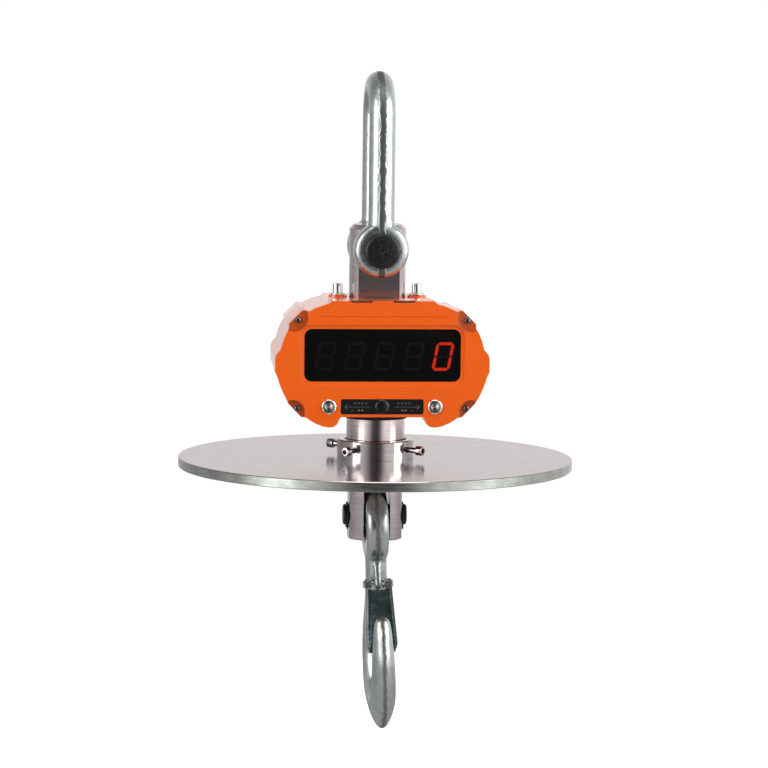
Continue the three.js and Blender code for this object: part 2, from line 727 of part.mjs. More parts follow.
const bezelFace = housingFrontFace - 1.6;
const barrelEnd = housingFrontFace + 16;

// The fixed part of a push-button: bezel, threaded barrel with its nut, and the switch behind.
function buttonUnit() {
  const diameters = [bezelDiameter, barrelDiameter, plungerDiameter + 2 * fitGap];
  const [bezel, barrel, bore] = diameters.map((d) => d / 2);
  const seat = housingFrontFace - seatGap;
  const shell = turned([
    [bore, bezelFace], [bezel - 0.7, bezelFace], [bezel, bezelFace + 0.7], [bezel, seat],
    [barrel, seat], [barrel, barrelEnd + 0.5], [bore, barrelEnd + 0.5], [bore, bezelFace],
  ], 'y', 16);
  const nutBlank = slab(hexagon(15), 'y', coverRear + seatGap, coverRear + 3);
  const nut = cut(nutBlank, rod('y', barrelDiameter - 1, -90, -50, 8));
  const body = block(-6, 6, barrelEnd, barrelEnd + 8, -6, 6);
  const pins = [-3, 3].map((x) => block(x - 0.5, x + 0.5, barrelEnd + 7, barrelEnd + 11, -2, 2));
  return join(shell, nut, body, ...pins);
}

function buttonPlunger() {
  const r = plungerDiameter / 2;
  const stemEnd = barrelEnd - buttonTravel - fitGap;
  return turned([
    [0, bezelFace - 0.3], [1.4, bezelFace - 0.3], [2, bezelFace], [r - 0.6, bezelFace], [r, bezelFace + 0.6],
    [r, bezelFace + 12], [2, bezelFace + 12], [2, stemEnd], [0, stemEnd],
  ], 'y', 16);
}

// Wiring held inside.

function signalCable() {
  const z = housingMiddle;
  const x = -waistDiameter / 2 + 5.5;
  return tube(new THREE.CatmullRomCurve3([
    new THREE.Vector3(x, 0, z), new THREE.Vector3(x - 14, -1, z), new THREE.Vector3(x - 24, -12, z + 1),
    new THREE.Vector3(x - 26, -26, z + 3),
    new THREE.Vector3(x - 26, mainBoardFront + boardThickness + seatGap, z + 3),
  ]), 4, 16);
}

// Battery compartment.

const trayRear = rearCoverFront - seatGap;
const trayFront = trayRear - 26;
const trayWall = 1.6;
const trayTop = openingTop + 3;
const trayBottom = lockZ + 5.5;

function batteryTray() {
  const outline = (margin) => {
    const height = trayTop - trayBottom - 2 * margin;
    return roundedRectangle(92 - 2 * margin, height, 4, 0, (trayTop + trayBottom) / 2);
  };
  const inside = slab(outline(trayWall), 'y', trayFront + trayWall, trayRear + 5, 1);
  return cut(slab(outline(0), 'y', trayFront, trayRear, 1), inside);
}

function batteryPack() {
  const [radius, depth] = [9.3, trayFront + 12.5];
  const height = trayTop - trayBottom - 8;
  const bottom = (trayTop + trayBottom) / 2 - height / 2;
  const cell = rod('z', 2 * radius, bottom, bottom + height, 12);
  const cells = [-3, -1, 1, 3].map((step) => moved(cell, step * (radius - 0.2), depth, 0));
  const [wide, deep] = [3 * radius, radius - 0.3];
  const wrap = block(-wide, wide, depth - deep, depth + deep, bottom + 0.5, bottom + height - 0.5);
  return join(wrap, ...cells);
}

function batteryDoor() {
  const outerFace = doorInnerFace + doorThickness;
  const panel = roundedDoor(9, outerFace - 1, outerFace + 1.2);
  const knuckles = [-1, 1].flatMap((side) => {
    const [near, far] = [17.4, 30];
    const [x0, x1] = side < 0 ? [-far, -near] : [near, far];
    return [
      moved(rod('x', 6, x0, x1, 14), 0, hingeY, hingeZ),
      block(x0, x1, doorInnerFace, hingeY + 2.4, doorTop - 3, hingeZ),
    ];
  });
  const pinHole = moved(rod('x', hingePinDiameter + 2 * fitGap, -40, 40, 12), 0, hingeY, hingeZ);
  const lockHole = moved(rod('y', 6 + 2 * fitGap, 60, 90, 16), 0, 0, lockZ);
  return cut(join(roundedDoor(0, doorInnerFace, outerFace), panel, ...knuckles), pinHole, lockHole);
}

function doorHingePin() {
  return moved(rod('x', hingePinDiameter, -31, 31, 12), 0, hingeY, hingeZ);
}

// A quarter-turn lock: a coin-slotted knob outside, a shaft and a tongue behind the cover's edge.
function doorLock() {
  const knobSeat = doorInnerFace + doorThickness + 1.2 + seatGap;
  const tongueRear = rearCoverFront - 0.8;
  const turnedBody = turned([
    [0, tongueRear - 2.4], [3, tongueRear - 2.4], [3, knobSeat], [8, knobSeat],
    [8, knobSeat + 3.5], [7, knobSeat + 4.5], [0, knobSeat + 4.5],
  ], 'y', 16);
  const tongue = block(-3, 11, tongueRear - 2.4, tongueRear, -3, 3);
  return cut(join(turnedBody, tongue), block(-6, 6, knobSeat + 2.5, knobSeat + 6, -0.9, 0.9));
}

// Charging socket.

function chargingSocket() {
  const [flange, barrel] = [12, 9];
  const face = housingRearFace + 2;
  const shell = moved(turned([
    [0, housingRearFace - 16], [barrel, housingRearFace - 16], [barrel, housingRearFace + seatGap],
    [flange, housingRearFace + seatGap], [flange, face], [6.5, face],
    [6.5, housingRearFace - 9], [1.5, housingRearFace - 9],
    [1.5, face - 2], [0, face - 2],
  ], 'y', 18), socketX, 0, socketZ);
  const ears = [-1, 1].map((side) => block(
    socketX + side * 6 - 1.2, socketX + side * 6 + 1.2,
    housingRearFace + seatGap, lidHingeY + 1.8, socketZ + 9, lidHingeZ + 1.8,
  ));
  const pinHole = moved(rod('x', 2 + 2 * fitGap, socketX - 12, socketX + 12, 10), 0, lidHingeY, lidHingeZ);
  return cut(join(shell, ...ears), pinHole);
}

function socketLid() {
  const [from, to] = [housingRearFace + 2.4, housingRearFace + 5];
  const cap = turned([[0, from], [10.5, from], [10.5, to - 0.8], [9.7, to], [0, to]], 'y', 18);
  return join(
    moved(cap, socketX, 0, socketZ - 1.4),
    block(socketX - 4, socketX + 4, from + 0.3, lidHingeY + 0.7, socketZ + 6, lidHingeZ),
    moved(rod('x', 3.4, socketX - 4.2, socketX + 4.2, 12), 0, lidHingeY, lidHingeZ),
    moved(rod('x', 2, socketX - 8.2, socketX + 8.2, 10), 0, lidHingeY, lidHingeZ),
  );
}

// Fasteners of the housing.

// A low button-headed screw along Y, its head's underside at the origin, pointing to +Y.
function coverScrew() {
  const [head, shank] = [screwHead / 2, screwShank / 2];
  return turned([
    [0, -2.3], [head * 0.6, -2.1], [head, -0.4], [head, 0], [shank, 0], [shank, 11], [0, 11],
  ], 'y', 10);
}

function topCapScrew() {
  return capScrew(topScrew + 4.5, topScrew + 4, topScrew, padTop - flangeTop + flangeThickness - 1);
}

function topScrewWasher() {
  return ring('z', topScrew + 10, topScrew + 2 * fitGap, padTop + seatGap, padTop + 1.8, 14);
}

// Heat shield.

function shieldDisc() {
  const [r, bore] = [discDiameter / 2, collarBore / 2];
  return turned([
    [bore, discBottom], [r, discBottom], [r, discTop], [bore, discTop], [bore, discBottom],
  ], 'z', 72);
}

const collarScrewZ = discTop + collarHeight / 2 + 0.6;

function collarScrewTurns() {
  return [0, 90, 180, 270].map((turn) => THREE.MathUtils.degToRad(turn + collarScrewTurn));
}

function shieldCollar() {
  const [r, bore] = [collarDiameter / 2, collarBore / 2];
  const body = turned([
    [bore, discTop + seatGap], [r, discTop + seatGap], [r, discTop + collarHeight - 1],
    [r - 1, discTop + collarHeight], [bore, discTop + collarHeight], [bore, discTop + seatGap],
  ], 'z', 30);
  const hole = moved(rod('x', collarScrew + 2 * fitGap, bore - 4, r + 4, 10), 0, 0, collarScrewZ);
  return cut(body, ...collarScrewTurns().map((turn) => hole.clone().rotateZ(turn)));
}

// Points inwards along X from the collar's outside, its head well clear of the collar.
function collarScrewSolid() {
  const tip = columnDiameter / 2 + seatGap + 0.2;
  const headSeat = collarDiameter / 2 + 11.5;
  const screw = capScrew(collarScrew + 4, collarScrew + 1.5, collarScrew, headSeat - tip);
  return moved(screw.rotateY(Math.PI / 2), headSeat, 0, 0);
}

// Lower pin.

function hookPin() {
  const [r, half] = [lowerPin / 2, clevisAcrossFlats / 2 + lowerPinProud];
  const [from, to] = [clevisAcrossFlats / 2 + 0.6, clevisAcrossFlats / 2 + 1 + ringThickness];
  return turned([
    [0, -half], [r, -half], [r, -to], [r - 1.4, -to], [r - 1.4, -from], [r, -from],
    [r, from], [r - 1.4, from], [r - 1.4, to], [r, to], [r, half], [0, half],
  ], 'x', 16);
}

// An external retaining ring: open at the bottom, with a plier lug at each side of the gap.
function retainingRing() {
  const from = clevisAcrossFlats / 2 + 0.75;
  const inner = lowerPin / 2 - 1.4 + fitGap / 2;
  const shape = new THREE.Shape();
  const opening = THREE.MathUtils.degToRad(34);
  shape.absarc(0, 0, ringDiameter / 2, -Math.PI / 2 + opening, 1.5 * Math.PI - opening);
  shape.absarc(0, 0, inner, 1.5 * Math.PI - opening, -Math.PI / 2 + opening, true);
  const lugs = [-1, 1].map((side) => {
    return moved(rod('x', 5, from, from + ringThickness, 8), 0, side * 7.2, -ringDiameter / 2 + 1.2);
  });
  return join(slab(shape, 'x', from, from + ringThickness, 8), ...lugs);
}

// Hook, in the frame of the lower pin's axis.

const eyeDrop = (hookEyeInner - lowerPin) / 2 - fitGap; // the eye's middle hangs this far below the pin
const bowlZ = -158.6;
const latchHinge = [-15, -73]; // y, z
const cheekDepth = 9;

// Stations down the back, round the bowl and up to the point: y, z, half depth, half width, and the
// share by which the section narrows towards its outer side.
const hookStations = [
  [0, -42, 15, 11.6, 0], [1, -60, 14.8, 11.5, 0], [7, -82, 14.5, 12, 0.05], [22, -106, 15.5, 13.2, 0.1],
  [37.5, -130, 17.5, 14.8, 0.2], [45, bowlZ, 19, 16.4, 0.3], [31.5, -194, 20, 17.4, 0.35],
  [-4, -210.6, 21, 16.2, 0.45], [-38, -192, 19, 15.8, 0.32], [-51, bowlZ, 15.5, 14.6, 0.3],
  [-52.5, -134, 13.2, 12.2, 0.2], [-52.5, -118, 11.4, 10.2, 0.1], [-52, -106.5, 7.5, 7.4, 0.05],
  [-51.8, -102.6, 1.5, 1.8, 0],
];

// A unit cylinder laid along the stations, its section an egg that swells and thins with them.
function hookBar() {
  const points = hookStations.map(([y, z]) => new THREE.Vector3(0, y, z));
  const path = new THREE.CatmullRomCurve3(points, false, 'centripetal');
  const rows = hookStations.map(([, , depth, width, taper]) => new THREE.Vector3(width, depth, taper));
  const sizes = new THREE.CatmullRomCurve3(rows);
  const geometry = new THREE.CylinderGeometry(1, 1, 1, 12, 30);
  const place = geometry.attributes.position;
  for (let i = 0; i < place.count; i += 1) {
    const t = place.getY(i) + 0.5;
    const outward = place.getZ(i);
    const centre = path.getPoint(t);
    const along = path.getTangent(t);
    const across = new THREE.Vector3(0, -along.z, along.y);
    const size = sizes.getPoint(t);
    const point = centre.addScaledVector(across, outward * size.y);
    const narrowing = 1 - (size.z * (1 + outward)) / 2;
    place.setXYZ(i, place.getX(i) * size.x * narrowing, point.y, point.z);
  }
  return tidy(geometry);
}

function hookBody() {
  const [outer, inner, half, round] = [hookEyeOuter / 2, hookEyeInner / 2, hookThickness / 2, 7];
  const corner = (r, x, start) => [0, 1, 2].map((i) => {
    const angle = THREE.MathUtils.degToRad(start + i * 45);
    return [r + round * Math.cos(angle), x + round * Math.sin(angle)];
  });
  const profile = [
    ...corner(outer - round, half - round, 0), ...corner(inner + round, half - round, 90),
    ...corner(inner + round, -half + round, 180), ...corner(outer - round, -half + round, 270),
    [outer, half - round],
  ];
  const eye = moved(turned(profile, 'x', 26), 0, 0, -eyeDrop);
  const eyeHole = moved(rod('x', hookEyeInner, -30, 30, 26), 0, 0, -eyeDrop);
  const [y, z] = latchHinge;
  const rib = slab(new THREE.Shape([
    [-3, z + 26], [-14.5, z + 26], [y - 5.4, z + 3], [y - 5.4, z - 1], [y, z - 4.5], [-3, z - 4.5],
  ].map(([a, b]) => new THREE.Vector2(a, b))), 'x', -3.4, 3.4);
  const lug = join(moved(rod('x', 11, -3.4, 3.4, 16), 0, y, z), rib);
  const pinHole = moved(rod('x', latchPinDiameter + 2 * fitGap, -20, 20, 12), 0, y, z);
  return cut(join(cut(hookBar(), eyeHole), eye, lug), pinHole);
}

// Safety latch, in the frame of its own pin, straight down.

// A channel whose cheeks face forward and straddle the hook's point.
function safetyLatch() {
  const [top, end, half, narrow] = [-4, -latchLength, latchWidth / 2, latchTopWidth / 2];
  const face = (grow) => new THREE.Shape([
    [-narrow - grow, top + grow], [narrow + grow, top + grow], [half + grow, end + 8],
    [half + grow - 3, end - grow], [3 - half - grow, end - grow], [-half - grow, end + 8],
  ].map(([x, z]) => new THREE.Vector2(x, z)));
  const channel = slab(face(0), 'y', -cheekDepth, 0);
  const hollow = slab(face(-latchSheet), 'y', -cheekDepth - 1, -latchSheet);
  const openEnd = block(3 - half, half - 3, -cheekDepth - 1, -latchSheet, end - 1, end + 6);
  const knuckles = [rod('x', 11, -narrow, -7.4, 16), rod('x', 11, 7.4, narrow, 16)];
  const clearance = block(-7.2, 7.2, -20, 20, -7, 20);
  const pinHole = rod('x', latchPinDiameter + 2 * fitGap, -20, 20, 12);
  return cut(join(cut(channel, hollow, openEnd), ...knuckles), clearance, pinHole);
}

function latchPin() {
  const [head, neck, end] = [4, latchPinDiameter / 2, latchTopWidth / 2 + 0.4];
  return turned([
    [0, -end - 1.8], [head, -end - 1.8], [head, -end], [neck, -end], [neck, end], [head, end],
    [head, end + 1.8], [0, end + 1.8],
  ], 'x', 12);
}

// A close-wound torsion spring beside the hook's lug, drawn as a sleeve with one leg down the latch.
function latchSpring() {
  const sleeve = ring('x', 9.4, latchPinDiameter + 2 * fitGap, 3.9, 6.9, 16);
  const leg = block(4.6, 5.8, 1.4, 2.6, -20, -2);
  return cut(join(sleeve, leg), rod('x', latchPinDiameter + 2 * fitGap, 3, 8, 16));
}

// Assembly.

const model = new THREE.Group();

function group(parent, x, y, z) {
  const inner = new THREE.Group();
  inner.position.set(x, y, z);
  parent.add(inner);
  return inner;
}

function place(parent, name, geometry, material, x = 0, y = 0, z = 0) {
  const closed = tidy(geometry);
  closed.computeVertexNormals();
  const mesh = new THREE.Mesh(closed, finish(material));
  mesh.name = name;
  mesh.position.set(x, y, z);
  parent.add(mesh);
  return mesh;
}

place(model, 'shackle_bow', shackleBow(), 'zinc');
const scale = group(model, 0, 0, -shackleReach); // the upper pin's axis
place(scale, 'shackle_pin', shacklePin(), 'blackSteel');
place(scale, 'shackle_washer', shackleWasher(), 'zinc');
place(scale, 'shackle_nut', castleNut().rotateY(Math.PI / 2), 'zinc');
place(scale, 'shackle_split_pin', splitPin().rotateY(Math.PI / 2), 'springSteel');

place(scale, 'load_cell', loadCell(), 'machined');
place(scale, 'mounting_flange', mountingFlange(), 'machined');
place(scale, 'lower_seal', lowerSeal(), 'rubber');

place(scale, 'housing_body', housingBody(), 'orange');
place(scale, 'front_cover', frontCover(), 'orange');
place(scale, 'rear_cover', rearCover(), 'orange');
place(scale, 'front_gasket', gasket(coverRear + seatGap, bodyFront - seatGap, false), 'rubber');
place(scale, 'rear_gasket', gasket(bodyRear + seatGap, rearCoverFront - seatGap, true), 'rubber');

const cornerNames = ['left_upper', 'left_lower', 'right_upper', 'right_lower'];
cornerPlaces().forEach(([x, z], index) => {
  const seat = housingFrontFace + cornerPocketDepth - seatGap;
  place(scale, `front_screw_${cornerNames[index]}`, coverScrew(), 'blackSteel', x, seat, z);
});
cornerPlaces(true).forEach(([x, z], index) => {
  const seat = housingRearFace - cornerPocketDepth + seatGap;
  const screw = place(scale, `rear_screw_${cornerNames[index]}`, coverScrew(), 'blackSteel', x, seat, z);
  screw.rotation.z = Math.PI;
});
for (const [side, label] of [[-1, 'left'], [1, 'right']]) {
  const x = (side * topScrewSpacing) / 2;
  place(scale, `top_washer_${label}`, topScrewWasher(), 'stainless', x);
  place(scale, `top_screw_${label}`, topCapScrew(), 'stainless', x, 0, padTop + 1.8 + seatGap);
}

place(scale, 'display_window', displayWindow(), 'smoked');
place(scale, 'display_board', displayBoard(), 'board');
[-2, -1, 0, 1, 2].forEach((step, index) => {
  const material = index === 4 ? 'litDigit' : 'digit';
  const x = step * digitPitch + digitsRight;
  place(scale, `led_digit_${index + 1}`, ledDigit(), material, x, 0, windowZ - digitsDown);
});
place(scale, 'main_board', mainBoard(), 'board');
place(scale, 'signal_cable', signalCable(), 'rubber');

place(scale, 'label_plate', labelPlate(), 'blackPlastic');
place(scale, 'ir_window', irWindow(), 'smoked');
for (const [side, label] of [[-1, 'left'], [1, 'right']]) {
  const button = group(scale, (side * buttonSpacing) / 2, 0, buttonZ);
  place(button, `button_unit_${label}`, buttonUnit(), 'stainless');
  place(button, `button_plunger_${label}`, buttonPlunger(), 'stainless');
}

place(scale, 'battery_tray', batteryTray(), 'blackPlastic');
place(scale, 'battery_pack', batteryPack(), 'battery');
place(scale, 'battery_door', batteryDoor(), 'orange');
place(scale, 'door_hinge_pin', doorHingePin(), 'stainless');
place(scale, 'door_lock', doorLock(), 'stainless', 0, 0, lockZ);
place(scale, 'charging_socket', chargingSocket(), 'stainless');
place(scale, 'socket_lid', socketLid(), 'stainless');

place(scale, 'shield_disc', shieldDisc(), 'disc');
place(scale, 'shield_collar', shieldCollar(), 'machined');
['front_right', 'rear_right', 'rear_left', 'front_left'].forEach((label, index) => {
  const screw = place(scale, `collar_screw_${label}`, collarScrewSolid(), 'stainless', 0, 0, collarScrewZ);
  screw.rotation.z = collarScrewTurns()[index];
});

const lower = group(scale, 0, 0, -pinSpacing); // the lower pin's axis
place(lower, 'hook_pin', hookPin(), 'blackSteel');
place(lower, 'retaining_ring_right', retainingRing(), 'blackSteel');
const leftRing = place(lower, 'retaining_ring_left', retainingRing(), 'blackSteel');
leftRing.rotation.z = Math.PI;
const hook = group(lower, 0, 0, 0);
hook.rotation.y = -THREE.MathUtils.degToRad(hookLean);
place(hook, 'hook_body', hookBody(), 'zinc');
const latch = group(hook, 0, latchHinge[0], latchHinge[1]);
place(latch, 'latch_pin', latchPin(), 'stainless');
const swung = group(latch, 0, 0, 0);
swung.rotation.x = -THREE.MathUtils.degToRad(latchClosed);
place(swung, 'safety_latch', safetyLatch(), 'latchSteel');
place(swung, 'latch_spring', latchSpring(), 'springSteel');

export default model;
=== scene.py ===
from math import atan2, cos, pi, radians, sin, tan

import bmesh
import bpy
from mathutils import Matrix, Quaternion, Vector


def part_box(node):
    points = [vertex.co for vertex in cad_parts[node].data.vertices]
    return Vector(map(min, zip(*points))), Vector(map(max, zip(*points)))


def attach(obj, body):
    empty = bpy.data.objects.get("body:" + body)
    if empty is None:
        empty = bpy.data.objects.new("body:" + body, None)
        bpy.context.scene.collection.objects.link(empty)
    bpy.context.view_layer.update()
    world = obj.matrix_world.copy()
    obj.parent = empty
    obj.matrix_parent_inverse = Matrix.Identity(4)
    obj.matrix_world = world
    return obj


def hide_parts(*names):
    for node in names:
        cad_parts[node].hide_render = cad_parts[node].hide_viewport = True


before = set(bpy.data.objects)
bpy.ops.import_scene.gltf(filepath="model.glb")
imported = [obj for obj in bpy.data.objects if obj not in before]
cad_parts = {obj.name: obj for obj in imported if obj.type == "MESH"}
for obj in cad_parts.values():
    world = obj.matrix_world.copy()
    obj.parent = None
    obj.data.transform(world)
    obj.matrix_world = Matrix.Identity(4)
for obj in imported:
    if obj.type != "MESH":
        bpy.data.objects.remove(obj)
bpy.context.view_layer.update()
scene = bpy.context.scene
print("frame loaded")


# places come from the nodes' boxes; pieces are modelled in millimetres round an axis

def middle(node):
    low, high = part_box(node)
    return (Vector(low) + Vector(high)) / 2


toMetres = Matrix.Scale(0.001, 4)
upperAxis = Matrix.Translation((0, 0, middle("shackle_pin").z)) @ toMetres
lowerAxis = Matrix.Translation((0, 0, middle("hook_pin").z)) @ toMetres
hookLean = radians(-2.5)
hookFrame = lowerAxis @ Matrix.Rotation(hookLean, 4, "Y")


# helpers that make and join meshes

def vertsOf(geometry):
    return [g for g in geometry if isinstance(g, bmesh.types.BMVert)]


def edgesOf(geometry):
    return [g for g in geometry if isinstance(g, bmesh.types.BMEdge)]


def lathe(profile, axis="z", at=(0, 0, 0), steps=64, closed=False):
    # a profile of (radius, station) pairs spun once round; a closed one makes a ring
    if closed:
        profile = profile + profile[:1]
    bm = bmesh.new()
    corners = [bm.verts.new((radius, 0, station)) for radius, station in profile]
    edges = [bm.edges.new(pair) for pair in zip(corners, corners[1:])]
    bmesh.ops.spin(bm, geom=corners + edges, cent=(0, 0, 0), axis=(0, 0, 1), angle=2 * pi,
                   steps=steps, use_merge=True)
    bmesh.ops.remove_doubles(bm, verts=bm.verts, dist=0.001)
    bmesh.ops.recalc_face_normals(bm, faces=bm.faces)
    turns = {"z": Matrix(), "x": Matrix.Rotation(pi / 2, 4, "Y"), "y": Matrix.Rotation(-pi / 2, 4, "X")}
    bmesh.ops.transform(bm, matrix=Matrix.Translation(at) @ turns[axis], verts=bm.verts)
    return bm


def rod(radius, low, high, axis="z", at=(0, 0, 0), steps=48):
    return lathe([(0, low), (radius, low), (radius, high), (0, high)], axis, at, steps)


def block(low, high, radius=0, axis=None, segments=4):
    # a box, with its edges along one axis rounded, or all of them
    bm = bmesh.new()
    low, high = Vector(low), Vector(high)
    size = Matrix.Diagonal((*(high - low), 1))
    bmesh.ops.create_cube(bm, size=1, matrix=Matrix.Translation((low + high) / 2) @ size)
    if radius:
        chosen = bm.edges[:]
        if axis:
            along = Vector({"x": (1, 0, 0), "y": (0, 1, 0), "z": (0, 0, 1)}[axis])
            chosen = [edge for edge in bm.edges
                      if abs((edge.verts[0].co - edge.verts[1].co).normalized().dot(along)) > 0.9]
        bmesh.ops.bevel(bm, geom=chosen, offset=radius, affect="EDGES", segments=segments,
                        profile=0.5, material=-1)
    return bm


def hexagon(acrossFlats, low, high):
    bm = bmesh.new()
    radius = acrossFlats / 3 ** 0.5
    bmesh.ops.create_cone(bm, cap_ends=True, segments=6, radius1=radius, radius2=radius,
                          depth=high - low, matrix=Matrix.Translation((0, 0, (low + high) / 2)))
    return bm


def prism(outline, low, high):
    # a (y, z) outline pushed along x
    bm = bmesh.new()
    face = bm.faces.new([bm.verts.new((low, y, z)) for y, z in outline])
    grown = bmesh.ops.extrude_face_region(bm, geom=[face])["geom"]
    bmesh.ops.translate(bm, vec=(high - low, 0, 0), verts=vertsOf(grown))
    bmesh.ops.recalc_face_normals(bm, faces=bm.faces)
    return bm


def placed(bm, *matrices):
    for matrix in matrices:
        bmesh.ops.transform(bm, matrix=matrix, verts=bm.verts)
    return bm


def together(*parts):
    # several shells in one mesh
    bm = bmesh.new()
    for part in parts:
        mesh = bpy.data.meshes.new("part")
        part.to_mesh(mesh)
        part.free()
        bm.from_mesh(mesh)
        bpy.data.meshes.remove(mesh)
    return bm


def scratchObject(bm):
    mesh = bpy.data.meshes.new("scratch")
    bm.to_mesh(mesh)
    bm.free()
    made = bpy.data.objects.new("scratch", mesh)
    scene.collection.objects.link(made)
    return made


def taken(made, extras=()):
    # the evaluated mesh as a bmesh, with the scratch objects removed
    evaluated = made.evaluated_get(bpy.context.evaluated_depsgraph_get())
    mesh = bpy.data.meshes.new_from_object(evaluated)
    bm = bmesh.new()
    bm.from_mesh(mesh)
    for old in (made, *extras):
        data = old.data
        bpy.data.objects.remove(old)
        bpy.data.meshes.remove(data)
    bpy.data.meshes.remove(mesh)
    return bm


def carved(bm, *tools):
    # each tool is cut out of the mesh
    made = scratchObject(bm)
    extras = [scratchObject(tool) for tool in tools]
    for extra in extras:
        step = made.modifiers.new("carve", "BOOLEAN")
        step.operation = "DIFFERENCE"
        step.solver = "EXACT"
        step.object = extra
    return taken(made, extras)


def forged(bm, voxel, rounds):
    # one skin over overlapping shells, its inner corners filled as a forging's are
    made = scratchObject(bm)
    skin = made.modifiers.new("skin", "REMESH")
    skin.mode = "VOXEL"
    skin.voxel_size = voxel
    ease = made.modifiers.new("ease", "SMOOTH")
    ease.factor = 0.5
    ease.iterations = rounds
    return taken(made)


def copyOf(node):
    # a node's mesh, merged, with its flat faces whole again, in millimetres
    bm = bmesh.new()
    bm.from_mesh(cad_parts[node].data)
    placed(bm, Matrix.Scale(1000, 4))
    bmesh.ops.remove_doubles(bm, verts=bm.verts, dist=0.01)
    bmesh.ops.dissolve_limit(bm, angle_limit=radians(0.8), verts=bm.verts, edges=bm.edges)
    return bm


def addPiece(name, bm, body, finish, nodes=(), place=None, bevel=0, angle=35, segments=2):
    # a finish is a slot's name with one material, or with a list that the faces choose from
    slotName, materials = finish
    placed(bm, place or toMetres)
    mesh = bpy.data.meshes.new(name)
    bm.to_mesh(mesh)
    bm.free()
    for material in materials if isinstance(materials, list) else [materials]:
        mesh.materials.append(material)
    mesh.polygons.foreach_set("use_smooth", [True] * len(mesh.polygons))
    mesh.set_sharp_from_angle(angle=radians(angle))
    piece = bpy.data.objects.new(name, mesh)
    scene.collection.objects.link(piece)
    if bevel:
        edge = piece.modifiers.new("edge", "BEVEL")
        edge.width = bevel / 1000
        edge.segments = segments
        edge.limit_method = "ANGLE"
        edge.angle_limit = radians(32)
        edge.use_clamp_overlap = True
    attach(piece, body)
    if nodes:
        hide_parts(*([nodes] if isinstance(nodes, str) else nodes))
    return piece


# materials; a Mix node's colour sockets share their names with others, so they go by number
mixAmount, numberA, numberB, colourA, colourB, mixedColour = 0, 2, 3, 6, 7, 2
noiseSpread = {"From Min": 0.3, "From Max": 0.7}  # where most of a noise texture's values lie


def linear(code):
    channels = [int(code[i:i + 2], 16) / 255 for i in (0, 2, 4)]
    return (*[c / 12.92 if c <= 0.04045 else ((c + 0.055) / 1.055) ** 2.4 for c in channels], 1)


def addNode(material, kind, values=None, links=None, **settings):
    tree = material.node_tree
    node = tree.nodes.new(kind)
    for key, value in settings.items():
        setattr(node, key, value)
    for socket, value in (values or {}).items():
        node.inputs[socket].default_value = value
    for socket, source in (links or {}).items():
        tree.links.new(source, node.inputs[socket])
    return node


def startMaterial(name, **values):
    material = bpy.data.materials.new(name)
    material.use_nodes = True
    shader = material.node_tree.nodes["Principled BSDF"]
    for socket, value in values.items():
        shader.inputs[socket.replace("_", " ")].default_value = value
    spots = addNode(material, "ShaderNodeTexCoord").outputs["Object"]
    return material, shader, spots


def joinShader(material, shader, sources):
    for socket, source in sources.items():
        material.node_tree.links.new(source, shader.inputs[socket])
    return material


def tones(dark, light):
    return {colourA: linear(dark), colourB: linear(light)}


